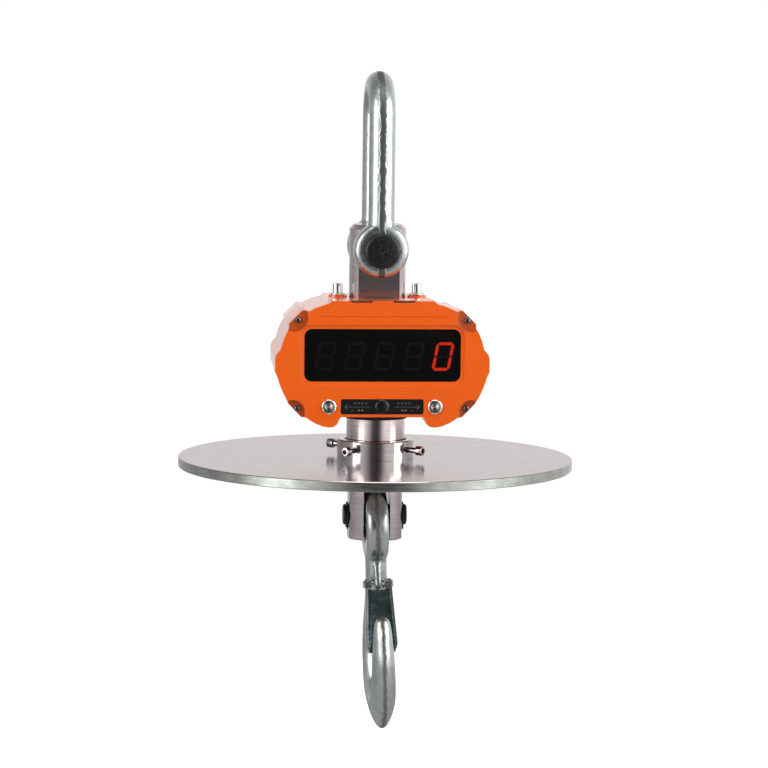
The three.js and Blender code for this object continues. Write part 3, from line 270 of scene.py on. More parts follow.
def zincForging(name, seam, seamTone, lean=0.0):
    # drop-forged steel, bright zinc plated: soft mottled shine, with a rough trimmed flash line down
    # the middle; seam gives where the line ends, as half widths in metres
    material, shader, spots = startMaterial(name, Metallic=1.0)
    # the seam follows the forging's middle plane, which leans about the lower pin
    aside = (-middle("hook_pin").z * sin(lean), 0, 0)
    spots = addNode(material, "ShaderNodeMapping", {"Location": aside, "Rotation": (0, lean, 0)},
                    {"Vector": spots}).outputs[0]
    # blotches about 14 mm across, hammer grain 2.5 mm, shot-blast pits 0.9 mm
    blotch = addNode(material, "ShaderNodeTexNoise", {"Scale": 70, "Detail": 3, "Roughness": 0.55},
                     {"Vector": spots})
    grain = addNode(material, "ShaderNodeTexNoise", {"Scale": 400, "Detail": 4, "Roughness": 0.6},
                    {"Vector": spots})
    pits = addNode(material, "ShaderNodeTexNoise", {"Scale": 1100, "Detail": 2}, {"Vector": spots})
    # the line's edge wanders by about a millimetre
    ragged = addNode(material, "ShaderNodeTexNoise", {"Scale": 160, "Detail": 4}, {"Vector": spots})
    parts = addNode(material, "ShaderNodeSeparateXYZ", links={0: spots})
    shifted = addNode(material, "ShaderNodeMath", {1: 0.5}, {0: ragged.outputs["Fac"]},
                      operation="SUBTRACT")
    wander = addNode(material, "ShaderNodeMath", {1: 0.006}, {0: shifted.outputs[0]},
                     operation="MULTIPLY")
    across = addNode(material, "ShaderNodeMath", links={0: parts.outputs["X"], 1: wander.outputs[0]},
                     operation="ADD")
    away = addNode(material, "ShaderNodeMath", links={0: across.outputs[0]}, operation="ABSOLUTE")
    flash = addNode(material, "ShaderNodeMapRange",
                    {"From Min": seam[0], "From Max": seam[1], "To Min": 1.0, "To Max": 0.0},
                    {"Value": away.outputs[0]}).outputs[0]
    plate = addNode(material, "ShaderNodeMix", tones("A6AEAF", "D6DDDD"),
                    {mixAmount: blotch.outputs["Fac"]}, data_type="RGBA")
    tone = addNode(material, "ShaderNodeMix", {colourB: linear(seamTone)},
                   {mixAmount: flash, colourA: plate.outputs[mixedColour]}, data_type="RGBA")
    smooth = addNode(material, "ShaderNodeMapRange", {**noiseSpread, "To Min": 0.16, "To Max": 0.28},
                     {"Value": grain.outputs["Fac"]})
    rough = addNode(material, "ShaderNodeMix", {numberB: 0.5},
                    {mixAmount: flash, numberA: smooth.outputs[0]}, data_type="FLOAT")
    fine = addNode(material, "ShaderNodeBump", {"Strength": 0.1, "Distance": 0.0003},
                   {"Height": pits.outputs["Fac"]})
    ripple = addNode(material, "ShaderNodeBump", {"Strength": 0.2, "Distance": 0.0009},
                     {"Height": grain.outputs["Fac"], "Normal": fine.outputs[0]})
    scar = addNode(material, "ShaderNodeBump", {"Strength": 0.5, "Distance": 0.0006},
                   {"Height": flash, "Normal": ripple.outputs[0]})
    return joinShader(material, shader, {"Base Color": tone.outputs[mixedColour],
                                         "Roughness": rough.outputs[0], "Normal": scar.outputs[0]})


def blackenedSteel():
    # hot-blackened carbon steel: nearly black, with a faint oily sheen and small bare rubs
    material, shader, spots = startMaterial("blackenedSteel", Metallic=1.0)
    cloud = addNode(material, "ShaderNodeTexNoise", {"Scale": 500, "Detail": 3}, {"Vector": spots})
    tone = addNode(material, "ShaderNodeMix", tones("1E2020", "4A4E4E"),
                   {mixAmount: cloud.outputs["Fac"]}, data_type="RGBA")
    rough = addNode(material, "ShaderNodeMapRange", {**noiseSpread, "To Min": 0.32, "To Max": 0.5},
                    {"Value": cloud.outputs["Fac"]})
    bump = addNode(material, "ShaderNodeBump", {"Strength": 0.1, "Distance": 0.0002},
                   {"Height": cloud.outputs["Fac"]})
    return joinShader(material, shader, {"Base Color": tone.outputs[mixedColour],
                                         "Roughness": rough.outputs[0], "Normal": bump.outputs[0]})


def turnedSteel(name, dark, light, roughness, lineStretch):
    # steel turned in a lathe: fine feed lines round it, a warm grey with long clean reflections
    material, shader, spots = startMaterial(name, Metallic=1.0)
    # feed lines are 0.2 mm apart in truth, and drawn about 1 mm apart so that they show
    stretched = addNode(material, "ShaderNodeMapping", {"Scale": lineStretch}, {"Vector": spots})
    lines = addNode(material, "ShaderNodeTexNoise", {"Scale": 1, "Detail": 3},
                    {"Vector": stretched.outputs[0]})
    cloud = addNode(material, "ShaderNodeTexNoise", {"Scale": 60, "Detail": 3}, {"Vector": spots})
    both = addNode(material, "ShaderNodeMath", {},
                   {0: lines.outputs["Fac"], 1: cloud.outputs["Fac"]}, operation="MULTIPLY")
    shade = addNode(material, "ShaderNodeMapRange",
                    {"From Min": 0.1, "From Max": 0.45, "To Min": 0, "To Max": 1},
                    {"Value": both.outputs[0]})
    tone = addNode(material, "ShaderNodeMix", tones(dark, light), {mixAmount: shade.outputs[0]},
                   data_type="RGBA")
    rough = addNode(material, "ShaderNodeMapRange",
                    {**noiseSpread, "To Min": roughness * 0.9, "To Max": roughness * 1.15},
                    {"Value": lines.outputs["Fac"]})
    bump = addNode(material, "ShaderNodeBump", {"Strength": 0.04, "Distance": 0.0002},
                   {"Height": lines.outputs["Fac"]})
    return joinShader(material, shader, {"Base Color": tone.outputs[mixedColour],
                                         "Roughness": rough.outputs[0], "Normal": bump.outputs[0]})


def polishedSteel():
    # buffed stainless: near mirror, with a trace of wiping haze
    material, shader, spots = startMaterial("polishedSteel", Metallic=1.0)
    haze = addNode(material, "ShaderNodeTexNoise", {"Scale": 250, "Detail": 3}, {"Vector": spots})
    tone = addNode(material, "ShaderNodeMix", tones("D2D2D0", "ECECEA"),
                   {mixAmount: haze.outputs["Fac"]}, data_type="RGBA")
    rough = addNode(material, "ShaderNodeMapRange", {**noiseSpread, "To Min": 0.05, "To Max": 0.14},
                    {"Value": haze.outputs["Fac"]})
    return joinShader(material, shader, {"Base Color": tone.outputs[mixedColour],
                                         "Roughness": rough.outputs[0]})


def powderCoat(name, dark, light):
    # orange gloss powder coat on die-cast aluminium: deep colour, a clear top shine, faint orange peel
    material, shader, spots = startMaterial(name, IOR=1.5, Coat_Weight=0.9, Coat_Roughness=0.05)
    peel = addNode(material, "ShaderNodeTexNoise", {"Scale": 420, "Detail": 2}, {"Vector": spots})
    cloud = addNode(material, "ShaderNodeTexNoise", {"Scale": 18, "Detail": 2}, {"Vector": spots})
    tone = addNode(material, "ShaderNodeMix", tones(dark, light), {mixAmount: cloud.outputs["Fac"]},
                   data_type="RGBA")
    rough = addNode(material, "ShaderNodeMapRange", {**noiseSpread, "To Min": 0.27, "To Max": 0.31},
                    {"Value": peel.outputs["Fac"]})
    bump = addNode(material, "ShaderNodeBump", {"Strength": 0.012, "Distance": 0.0003},
                   {"Height": peel.outputs["Fac"]})
    return joinShader(material, shader, {"Base Color": tone.outputs[mixedColour],
                                         "Roughness": rough.outputs[0], "Normal": bump.outputs[0]})


def mouldedPolymer(name, dark, light, roughness, grainSize, ior=1.46, **more):
    # injection-moulded or pressed polymer: an even colour with a fine tool grain
    material, shader, spots = startMaterial(name, IOR=ior, **more)
    grain = addNode(material, "ShaderNodeTexNoise", {"Scale": 1 / grainSize, "Detail": 3},
                    {"Vector": spots})
    tone = addNode(material, "ShaderNodeMix", tones(dark, light), {mixAmount: grain.outputs["Fac"]},
                   data_type="RGBA")
    rough = addNode(material, "ShaderNodeMapRange",
                    {**noiseSpread, "To Min": roughness * 0.85, "To Max": roughness * 1.15},
                    {"Value": grain.outputs["Fac"]})
    bump = addNode(material, "ShaderNodeBump", {"Strength": 0.1, "Distance": 0.0002},
                   {"Height": grain.outputs["Fac"]})
    return joinShader(material, shader, {"Base Color": tone.outputs[mixedColour],
                                         "Roughness": rough.outputs[0], "Normal": bump.outputs[0]})


def litSegment():
    # a light-emitting bar seen through its diffuser: orange-red, a little hotter in its middle
    material, shader, spots = startMaterial("litSegment", Roughness=0.4, Emission_Strength=3.4)
    glow = addNode(material, "ShaderNodeTexNoise", {"Scale": 900, "Detail": 1}, {"Vector": spots})
    tone = addNode(material, "ShaderNodeMix", tones("B02008", "D83010"),
                   {mixAmount: glow.outputs["Fac"]}, data_type="RGBA")
    hot = addNode(material, "ShaderNodeMix", tones("FF2A0C", "FF4018"),
                  {mixAmount: glow.outputs["Fac"]}, data_type="RGBA")
    return joinShader(material, shader, {"Base Color": tone.outputs[mixedColour],
                                         "Emission Color": hot.outputs[mixedColour]})


# turned steels take a dark and a light tone, a roughness and how tight the feed lines run along x, y, z
turned = ("machined", turnedSteel("turnedSteel", "BEB0B2", "DACECF", 0.16, (12, 12, 900)))
collarSteel = ("machined", turnedSteel("collarSteel", "A6A2A2", "C8C4C4", 0.13, (12, 12, 900)))
screwSteel = ("stainless", turnedSteel("screwSteel", "8A8688", "B6B2B4", 0.16, (500, 500, 500)))
screwHeads = ("black_steel", turnedSteel("screwHead", "5C5258", "8E8288", 0.16, (400, 400, 400)))
faced = ("stainless", turnedSteel("facedSteel", "A8A6A4", "E6E4E2", 0.12, (700, 700, 12)))
discSteel = ("disc", [turnedSteel("discFace", "A99C9C", "BEB1B0", 0.15, (9, 260, 40)),
                      turnedSteel("discRim", "929892", "BEC2BC", 0.24, (40, 40, 700))])
# the latch's side flanges and hinge knuckles take a lighter copy of its steel: painted highlight
latchSteel = ("latch_steel", [turnedSteel("latchSteel", "58696C", "8B9C9E", 0.26, (90, 90, 260)),
                              turnedSteel("latchEdgePaintedHighlight", "A4ACAE", "CDD3D4", 0.24, (200, 200, 200))])
wire = ("spring_steel", turnedSteel("springWire", "84888A", "C2C6C8", 0.22, (300, 300, 300)))
stainless = ("stainless", polishedSteel())
black = ("black_steel", blackenedSteel())
zincBow = ("zinc", zincForging("zincBow", (0.0028, 0.0042), "6A6B68"))
zincHook = ("zinc", zincForging("zincHook", (0.0012, 0.0034), "8A8680", -hookLean))
coat = powderCoat("powderCoat", "EA5A02", "F06404")
orange = ("orange", coat)
# the screw pockets take a darker copy of the orange coat: painted shade in the recesses
pocketPaintedShadeCoat = ("orange", [coat, powderCoat("pocketPaintedShadeCoat", "B04608", "C0520C")])
# polymers take a dark and a light tone, a roughness and the size of their grain in metres
rubber = ("rubber", mouldedPolymer("mouldedRubber", "0E0E0E", "1E1E1E", 0.7, 0.0012, 1.52))
silicone = ("rubber", mouldedPolymer("silicone", "5A2A12", "6E3418", 0.6, 0.0012, 1.41))
blackSheet = ("black_plastic", mouldedPolymer("blackSheet", "08080A", "101012", 0.3, 0.0007))
printInk = ("black_plastic", mouldedPolymer("printInk", "565450", "76726C", 0.5, 0.0009))
smoked = ("smoked", mouldedPolymer("smokedAcrylic", "060606", "0A0909", 0.07, 0.004, 1.49, Alpha=0.6))
irLens = ("smoked", mouldedPolymer("irLens", "050808", "0A0F0F", 0.28, 0.003, 1.49))
board = ("board", mouldedPolymer("solderMask", "0B3A1B", "14542A", 0.4, 0.002))
lampRed = ("digit", mouldedPolymer("lampRed", "7A1A12", "962418", 0.4, 0.0009))
shrinkWrap = ("battery", mouldedPolymer("shrinkWrap", "1E4278", "2C5796", 0.35, 0.002))
digitParts = [mouldedPolymer("digitFace", "0A0A0A", "121212", 0.5, 0.0009),
              mouldedPolymer("unlitSegment", "5A5A56", "6E6E6A", 0.4, 0.0008), litSegment()]
print("materials made")


# shackle: a bent bar with two forged eyes; z is from the seat inside its crown
shackle = {
    "bar": 14, "legOffset": 36.5, "crownCentre": -22.5, "pinZ": -159, "eye": 29.6, "eyeHalf": 14,
    "bore": 15.3, "innerHalf": 22.5, "gapReach": 45, "gapTop": 34, "voxel": 1.5, "easing": 9,
}


def makeShackle():
    s = shackle
    bm = bmesh.new()
    start = Matrix.Translation((0, -s["legOffset"], s["pinZ"]))
    bmesh.ops.create_circle(bm, segments=48, radius=s["bar"], matrix=start)
    legRise = s["crownCentre"] - s["pinZ"]
    rim = bmesh.ops.extrude_edge_only(bm, edges=bm.edges[:])["geom"]
    bmesh.ops.translate(bm, vec=(0, 0, legRise), verts=vertsOf(rim))
    last = bmesh.ops.spin(bm, geom=vertsOf(rim) + edgesOf(rim), cent=(0, 0, s["crownCentre"]),
                          axis=(-1, 0, 0), angle=pi, steps=40)["geom_last"]
    rim = bmesh.ops.extrude_edge_only(bm, edges=edgesOf(last))["geom"]
    bmesh.ops.translate(bm, vec=(0, 0, -legRise), verts=vertsOf(rim))
    bmesh.ops.holes_fill(bm, edges=bm.edges)
    bmesh.ops.recalc_face_normals(bm, faces=bm.faces)
    eye, half = s["eye"], s["eyeHalf"]
    rounding = [(eye - 7, half), (eye - 3, half - 1.4), (eye - 0.8, half - 4.5)]
    profile = [(0, -half), *[(r, -y) for r, y in rounding], (eye, 0), *reversed(rounding), (0, half)]
    eyes = [lathe(profile, "y", (0, side * s["legOffset"], s["pinZ"])) for side in (-1, 1)]
    skin = forged(together(bm, *eyes), s["voxel"], s["easing"])
    reach = s["gapReach"]
    gap = block((-reach, -s["innerHalf"], s["pinZ"] - reach),
                (reach, s["innerHalf"], s["pinZ"] + s["gapTop"]))
    bore = rod(s["bore"], -70, 70, "y", (0, 0, s["pinZ"]))
    addPiece("shackleBow", carved(skin, gap, bore), "shackle", zincBow, "shackle_bow", angle=50)


# upper pin: a round head in front, and a tail with a nut, a washer and a split pin behind
upperPin = {
    "seat": 50.65, "head": 18.5, "headThick": 8, "shank": 15, "tail": 26.3, "crossHole": 2.2,
    "crossAt": 18.2, "washerBore": 15.1, "washer": 25, "washerThick": 2.85,
}


def makeShacklePin():
    p = upperPin
    seat, head, shank, tail = p["seat"], p["head"], p["shank"], p["seat"] + p["tail"]
    face = -seat - p["headThick"]
    pin = lathe([(0, face + 1), (1.5, face + 1), (2.4, face + 0.1), (3.4, face), (head - 3.2, face),
                 (head - 1.2, face + 0.6), (head - 0.2, face + 1.8), (head, face + 3), (head, -seat),
                 (shank, -seat), (shank, seat), (shank - 1, seat + 1), (shank - 1.5, tail - 1.9),
                 (shank - 3, tail), (0, tail)], "y", steps=72)
    hole = rod(p["crossHole"], -30, 30, "z", (0, seat + p["crossAt"], 0), 20)
    addPiece("shacklePin", carved(pin, hole), "shackle", black, "shackle_pin", upperAxis)
    addPiece("shackleNut", copyOf("shackle_nut"), "shackle", zincBow, "shackle_nut", bevel=0.5)
    bore, edge, outside = p["washerBore"], p["washer"], seat + p["washerThick"]
    washer = lathe([(bore, seat), (edge - 0.5, seat), (edge, seat + 0.45), (edge, outside - 0.4),
                    (edge - 0.5, outside), (bore, outside)], "y", closed=True)
    addPiece("shackleWasher", washer, "shackle", zincBow, "shackle_washer", upperAxis)
    addPiece("splitPin", copyOf("shackle_split_pin"), "shackle", wire, "shackle_split_pin", angle=60)


# load cell: one turned bar, flat at its head, waisted inside the housing, slotted at its foot
cell = {
    "head": 30, "flat": 20.4, "flatLow": -52, "crownTop": 25, "crownRound": 4.6, "headLow": -69,
    "waist": 23, "waistTop": -75, "waistLow": -149.4, "column": 31, "columnTop": -156,
    "clevisFlat": 28, "flatTop": -237.5, "bottom": -311, "slot": 14.2, "slotTop": -248,
    "upperBore": 15.3, "lowerBore": 11.3, "lowerBoreZ": -286, "clear": 60,
}


def makeLoadCell():
    c = cell
    low, clear, below = c["bottom"], c["clear"], c["bottom"] - 6
    body = lathe([(0, low), (c["column"] - 2.4, low), (c["column"] - 0.7, low + 0.7),
                  (c["column"], low + 2.6), (c["column"], c["columnTop"]), (c["waist"], c["waistLow"]),
                  (c["waist"], c["waistTop"]), (c["head"], c["headLow"]),
                  (c["head"], c["crownTop"] - c["crownRound"]),
                  (c["head"] - c["crownRound"], c["crownTop"]), (0, c["crownTop"])], steps=128)
    tools = [block((-clear, -clear, c["flatLow"]), (clear, -c["flat"], clear)),
             block((-clear, c["flat"], c["flatLow"]), (clear, clear, clear)),
             block((-clear, -clear, below), (-c["clevisFlat"], clear, c["flatTop"])),
             block((c["clevisFlat"], -clear, below), (clear, clear, c["flatTop"])),
             rod(c["upperBore"], -clear, clear, "y"),
             block((-c["slot"], -clear, below), (c["slot"], clear, c["slotTop"])),
             rod(c["lowerBore"], -clear, clear, "x", (0, 0, c["lowerBoreZ"]))]
    addPiece("loadCell", carved(body, *tools), "scale_body", turned, "load_cell", upperAxis, bevel=0.8)


def capScrew(head, height, shank, length):
    # a socket head cap screw pointing down, its head's underside at the origin
    head, shank = head / 2, shank / 2
    body = lathe([(0, -length), (shank - 0.5, -length), (shank, -length + 0.6), (shank, 0),
                  (head - 0.3, 0), (head, 0.3), (head, height - 0.8), (head - 0.25, height - 0.25),
                  (head - 0.9, height), (0, height)], steps=48)
    return carved(body, hexagon(head, height * 0.45, height + 1))


# the two screws on the housing's top, each with a washer
topScrew = {"head": 10.5, "height": 10, "shank": 6, "length": 18, "washerBore": 3.3, "washer": 7.9,
            "washerThick": 1.6}


def makeTopScrews():
    t = topScrew
    for side in ("left", "right"):
        low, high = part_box("top_screw_" + side)
        x = (low[0] + high[0]) / 2 * 1000
        seat = Matrix.Translation((x, 0, high[2] * 1000 - t["height"]))
        screw = placed(capScrew(t["head"], t["height"], t["shank"], t["length"]), seat)
        addPiece("topScrew_" + side, screw, "scale_body", stainless, "top_screw_" + side)
        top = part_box("top_washer_" + side)[1][2] * 1000
        bore, edge, under = t["washerBore"], t["washer"], top - t["washerThick"]
        ring = lathe([(bore, under), (edge - 0.5, under), (edge, under + 0.4), (edge, top - 0.3),
                      (edge - 0.5, top), (bore, top)], at=(x, 0, 0), steps=40, closed=True)
        addPiece("topWasher_" + side, ring, "scale_body", stainless, "top_washer_" + side)


# collar: a ring on the disc, with four screws that clamp it to the column
collar = {"outer": 41, "bore": 33, "edge": 0.9, "hole": 3.3, "screwHead": 10, "screwHeight": 7.5,
          "screwShank": 6, "screwLength": 21.1, "screwSeat": 52.5}


def makeCollar():
    c = collar
    base, top = (corner[2] * 1000 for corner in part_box("shield_collar"))
    bore, outer = c["bore"], c["outer"]
    ring = lathe([(bore, base), (outer, base), (outer, top - c["edge"]), (outer - c["edge"], top),
                  (bore + 0.8, top), (bore, top - 0.8)], steps=128, closed=True)
    spots = {name: middle("collar_screw_" + name)
             for name in ("front_left", "front_right", "rear_left", "rear_right")}
    turns = {name: Matrix.Rotation(atan2(spot.y, spot.x), 4, "Z") for name, spot in spots.items()}
    holes = [placed(rod(c["hole"], bore - 5, 60, "x", (0, 0, spot.z * 1000), 24), turns[name])
             for name, spot in spots.items()]
    addPiece("shieldCollar", carved(ring, *holes), "scale_body", collarSteel, "shield_collar", bevel=0.4)
    for name, spot in spots.items():
        screw = placed(capScrew(c["screwHead"], c["screwHeight"], c["screwShank"], c["screwLength"]),
                       Matrix.Rotation(pi / 2, 4, "Y"),
                       Matrix.Translation((c["screwSeat"], 0, spot.z * 1000)), turns[name])
        addPiece("collarScrew_" + name, screw, "scale_body", screwSteel, "collar_screw_" + name)


# heat shield disc: its sawn rim is a cooler, rougher grey than its face
shield = {"rim": 210, "bore": 33, "edge": 0.7, "rimBand": 5}


def makeShield():
    base, top = (corner[2] * 1000 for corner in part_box("shield_disc"))
    rim, bore, edge = shield["rim"], shield["bore"], shield["edge"]
    disc = lathe([(bore, base), (rim - edge, base), (rim, base + edge), (rim, top - edge),
                  (rim - edge, top), (bore, top)], steps=256, closed=True)
    for face in disc.faces:
        centre = face.calc_center_median()
        if abs(face.normal.z) < 0.5 and centre.xy.length > rim - shield["rimBand"]:
            face.material_index = 1
    addPiece("shieldDisc", disc, "scale_body", discSteel, "shield_disc", angle=30)


# rubber seal under the housing, a flange with a lip round the column
seal = {"inner": 31.3, "lip": 3.2, "lipHeight": 7.8, "flange": 5.5, "flangeThick": 1.4}


def makeSeal():
    s = seal
    top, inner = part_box("lower_seal")[1][2] * 1000, s["inner"]
    low, lip, flange = top - s["lipHeight"], inner + s["lip"], inner + s["flange"]
    ring = lathe([(inner, low), (lip - 1.2, low), (lip - 0.2, low + 1), (lip, top - 3), (lip + 1, top - 2),
                  (flange, top - s["flangeThick"]), (flange, top), (inner, top)], steps=96, closed=True)
    addPiece("lowerSeal", ring, "scale_body", rubber, "lower_seal")


# push buttons: a bezel and barrel with a nut and switch behind, and a plunger with a dished face
button = {
    "bezel": 7.7, "bore": 4.8, "barrel": 6, "face": -72.6, "seat": -71.15, "barrelEnd": -55,
    "nut": 15, "nutFrom": -64.85, "nutTo": -62, "nutBore": 5.6, "switchHalf": 6, "switchEnd": -47,
    "cap": 4.45, "capLength": 12, "stem": 2, "stemEnd": -57.4,
}


def makeButtons():
    b = button
    face, bore, bezel, seat, end = b["face"], b["bore"], b["bezel"], b["seat"], b["barrelEnd"]
    half, cap, capEnd = b["switchHalf"], b["cap"], b["face"] + b["capLength"]
    facingBack = Matrix.Rotation(-pi / 2, 4, "X") @ Matrix.Scale(-1, 4, (0, 0, 1))
    for side in ("left", "right"):
        spot = middle("button_plunger_" + side) * 1000
        at = (spot.x, 0, spot.z)
        shell = lathe([(bore, face + 0.5), (bore + 0.4, face), (bore + 0.9, face),
                       (bezel - 1.1, face + 0.1), (bezel - 0.3, face + 0.5), (bezel, face + 1),
                       (bezel, seat), (b["barrel"], seat), (b["barrel"], end), (bore, end)],
                      "y", at, closed=True)
        nut = carved(placed(hexagon(b["nut"], b["nutFrom"], b["nutTo"]), facingBack),
                     rod(b["nutBore"], -90, -40, "y", steps=24))
        switch = block((-half, end, -half), (half, b["switchEnd"], half), 0.6)
        behind = placed(together(nut, switch), Matrix.Translation(at))
        addPiece("buttonUnit_" + side, together(shell, behind), "scale_body", stainless,
                 "button_unit_" + side)
        plunger = lathe([(0, face - 0.2), (1.2, face - 0.2), (1.7, face + 0.1), (3.2, face + 0.1),
                         (3.5, face + 0.25), (3.8, face + 0.1), (4.1, face + 0.2), (cap, face + 0.7),
                         (cap, capEnd), (b["stem"], capEnd), (b["stem"], b["stemEnd"]),
                         (0, b["stemEnd"])], "y", at)
        addPiece("buttonPlunger_" + side, plunger, "button_" + side, faced, "button_plunger_" + side)


# receiver for the remote control: a low dome between the buttons
dome = {"radius": 7.5, "face": -72.6, "seat": -71.15, "stem": 6.3, "stemEnd": -65.5}


def makeIrWindow():
    d = dome
    profile = [(0, d["face"]), (3.5, d["face"] + 0.1), (6, d["face"] + 0.4), (7.2, d["face"] + 1),
               (d["radius"], d["seat"]), (d["stem"], d["seat"]), (d["stem"], d["stemEnd"]),
               (0, d["stemEnd"])]
    addPiece("irWindow", lathe(profile, "y", (0, 0, middle("ir_window").z * 1000)), "scale_body",
             irLens, "ir_window")


# the covers' corner screws: low domed heads with a hexagon socket
coverScrew = {"head": 3.5, "rise": 2.2, "seatDepth": 2.3, "shank": 2, "length": 11, "socket": 2.2,
              "socketAt": -1, "socketDepth": 1.9}


def makeCoverScrews():
    c = coverScrew
    head, rise, shank, length = c["head"], c["rise"], c["shank"], c["length"]
    for face, turn in (("front", 0), ("rear", pi)):
        for name in ("left_upper", "left_lower", "right_upper", "right_lower"):
            node = f"{face}_screw_{name}"
            low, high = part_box(node)
            x, z = (low[0] + high[0]) * 500, (low[2] + high[2]) * 500
            seat = (low[1] * 1000 + c["seatDepth"] if face == "front"
                    else high[1] * 1000 - c["seatDepth"])
            body = lathe([(0, -rise), (1.4, -rise), (2.4, -rise + 0.3), (head - 0.4, -rise + 1),
                          (head, -0.3), (head, 0), (shank, 0), (shank, length - 0.4),
                          (shank - 0.4, length), (0, length)], "y", steps=32)
            socket = placed(hexagon(c["socket"], 0, c["socketDepth"]), Matrix.Rotation(pi / 2, 4, "X"),
                            Matrix.Translation((0, c["socketAt"], 0)))
            screw = placed(carved(body, socket), Matrix.Rotation(turn, 4, "Z"),
                           Matrix.Translation((x, seat, z)))
            addPiece("coverScrew_" + face + "_" + name, screw, "scale_body", screwHeads, node)


# front cover: a stepped border round the window, a pressed crease over it, and screw pockets painted a
# darker orange as shade; a pocket is how far out and up from its screw its painted shade's centre lies, with
# its reach
window = {
    "width": 165, "height": 55.5, "radius": 8, "z": -267.3, "border": 4.2, "step": 1.2,
    "creaseHalf": 68, "creaseZ": -226.5, "creaseWidth": 1.2, "creaseDepth": 0.8,
    "pocketUpper": (3.8, 2.5, 14.8), "pocketLower": (4.8, -3.6, 13.1), "pocketDepth": 0.3,
}


def makeFrontCover():
    w = window
    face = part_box("front_cover")[0][1] * 1000
    before = face - 5
    halfWidth, halfHeight = w["width"] / 2 + w["border"], w["height"] / 2 + w["border"]
    recess = block((-halfWidth, before, w["z"] - halfHeight),
                   (halfWidth, face + w["step"], w["z"] + halfHeight), w["radius"] + w["border"], "y", 8)
    crease = block((-w["creaseHalf"], before, w["creaseZ"] - w["creaseWidth"] / 2),
                   (w["creaseHalf"], face + w["creaseDepth"], w["creaseZ"] + w["creaseWidth"] / 2))
    shaped = carved(copyOf("front_cover"), recess, crease)
    for name in ("left_upper", "left_lower", "right_upper", "right_lower"):
        spot = middle("front_screw_" + name) * 1000
        outward, rise, reach = w["pocketUpper"] if name.endswith("upper") else w["pocketLower"]
        centre = Vector((spot.x + (outward if spot.x > 0 else -outward), spot.z + rise))
        # pocket faces get the darker orange, which is painted shade
        for part in shaped.faces:
            at = part.calc_center_median()
            if at.y > face + w["pocketDepth"] and (Vector((at.x, at.z)) - centre).length < reach:
                part.material_index = 1
    addPiece("frontCover", shaped, "scale_body", pocketPaintedShadeCoat, "front_cover", bevel=0.6, segments=3)


def makeHousing():
    for name, node, body, finish, bevel, segments in (
            ("housingBody", "housing_body", "scale_body", orange, 1.2, 3),
            ("rearCover", "rear_cover", "scale_body", orange, 0.9, 3),
            ("batteryDoor", "battery_door", "battery_door", orange, 0.7, 2),
            ("frontGasket", "front_gasket", "scale_body", silicone, 0, 2),
            ("rearGasket", "rear_gasket", "scale_body", silicone, 0, 2)):
        addPiece(name, copyOf(node), body, finish, node, bevel=bevel, segments=segments)


# display: five seven-bar digits on their board behind a smoked pane; only the last one is lit
digit = {"stroke": 3, "width": 19, "height": 30, "slant": 10.5, "gap": 0.8, "proud": 0.5,
         "caseHalf": (13.8, 19), "caseDepth": 7, "count": 5}
lampBar = {"from": 66, "to": 76.5, "low": 21.4, "high": 24.6, "half": 0.3}


def digitBar(length, upright, x, z, front):
    half = digit["stroke"] / 2
    size = (half, length / 2) if upright else (length / 2, half)
    return block((x - size[0], front, z - size[1]), (x + size[0], front + 1.2, z + size[1]),
                 half * 0.9, "y", 1)


def makeDigit(index):
    d = digit
    node = f"led_digit_{index}"
    spot, front = middle(node) * 1000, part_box(node)[0][1] * 1000
    lit = index == d["count"]
    wide, tall = d["width"] - d["stroke"], (d["height"] - d["stroke"]) / 2
    places = {"top": (0, tall, False), "middle": (0, 0, False), "bottom": (0, -tall, False),
              "upperLeft": (-wide / 2, tall / 2, True), "upperRight": (wide / 2, tall / 2, True),
              "lowerLeft": (-wide / 2, -tall / 2, True), "lowerRight": (wide / 2, -tall / 2, True)}
    slant = Matrix(((1, 0, tan(radians(d["slant"])), 0), (0, 1, 0, 0), (0, 0, 1, 0), (0, 0, 0, 1)))
    caseX, caseZ = d["caseHalf"]
    bm = block((-caseX, front + d["proud"], -caseZ), (caseX, front + d["caseDepth"], caseZ), 0.5)
    for name, (x, z, upright) in places.items():
        bar = placed(digitBar((tall if upright else wide) - d["gap"], upright, x, z, front), slant)
        for face in bar.faces:
            face.material_index = 2 if lit and name != "middle" else 1
        bm = together(bm, bar)
    placed(bm, Matrix.Translation((spot.x, 0, spot.z)))
    addPiece("digit_" + str(index), bm, "scale_body", ("lit_digit" if lit else "digit", digitParts), node)


def makeDisplay():
    low, high = ([v * 1000 for v in corner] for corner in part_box("display_window"))
    lens = block(low, high, window["radius"] + 2.7, "y", 8)
    addPiece("displayLens", lens, "scale_body", smoked, "display_window", bevel=0.3)
    for index in range(1, digit["count"] + 1):
        makeDigit(index)
    addPiece("displayBoard", copyOf("display_board"), "scale_body", board, "display_board")
    b, front = lampBar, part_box("led_digit_5")[0][1] * 1000
    lamp = block((b["from"], front - b["half"], window["z"] + b["low"]),
                 (b["to"], front + b["half"], window["z"] + b["high"]), 0.25)
    addPiece("lampBar", lamp, "scale_body", lampRed)


# label plate with plain printed marks: an arrow towards each button, dashes over it and dots under it
label = {"radius": 1.8, "hole": 6.4, "sunk": 0.02, "proud": 0.03, "shaft": (13, 39, -0.45, -0.1),
         "headSteps": 4, "dashes": (16, 20, 24, 28), "dash": (1.6, 3.2, 4.3), "dots": (20, 23.6),
         "dot": (2.2, -4.6, -3.0), "point": (31, 32, -4.3, -3.3)}


def labelMarks():
    # each mark's left, right, lower and upper edge, for the label's right half
    w = label
    marks = [w["shaft"], w["point"]]
    for step in range(w["headSteps"]):
        left, rise = 38.6 - step * 0.7, step * 0.6
        marks += [(left, left + 0.8, rise - 0.2, rise + 0.45), (left, left + 0.8, -rise - 0.95, -rise - 0.3)]
    for places, (width, low, high) in ((w["dashes"], w["dash"]), (w["dots"], w["dot"])):
        marks += [(x, x + width, low, high) for x in places]
    return marks


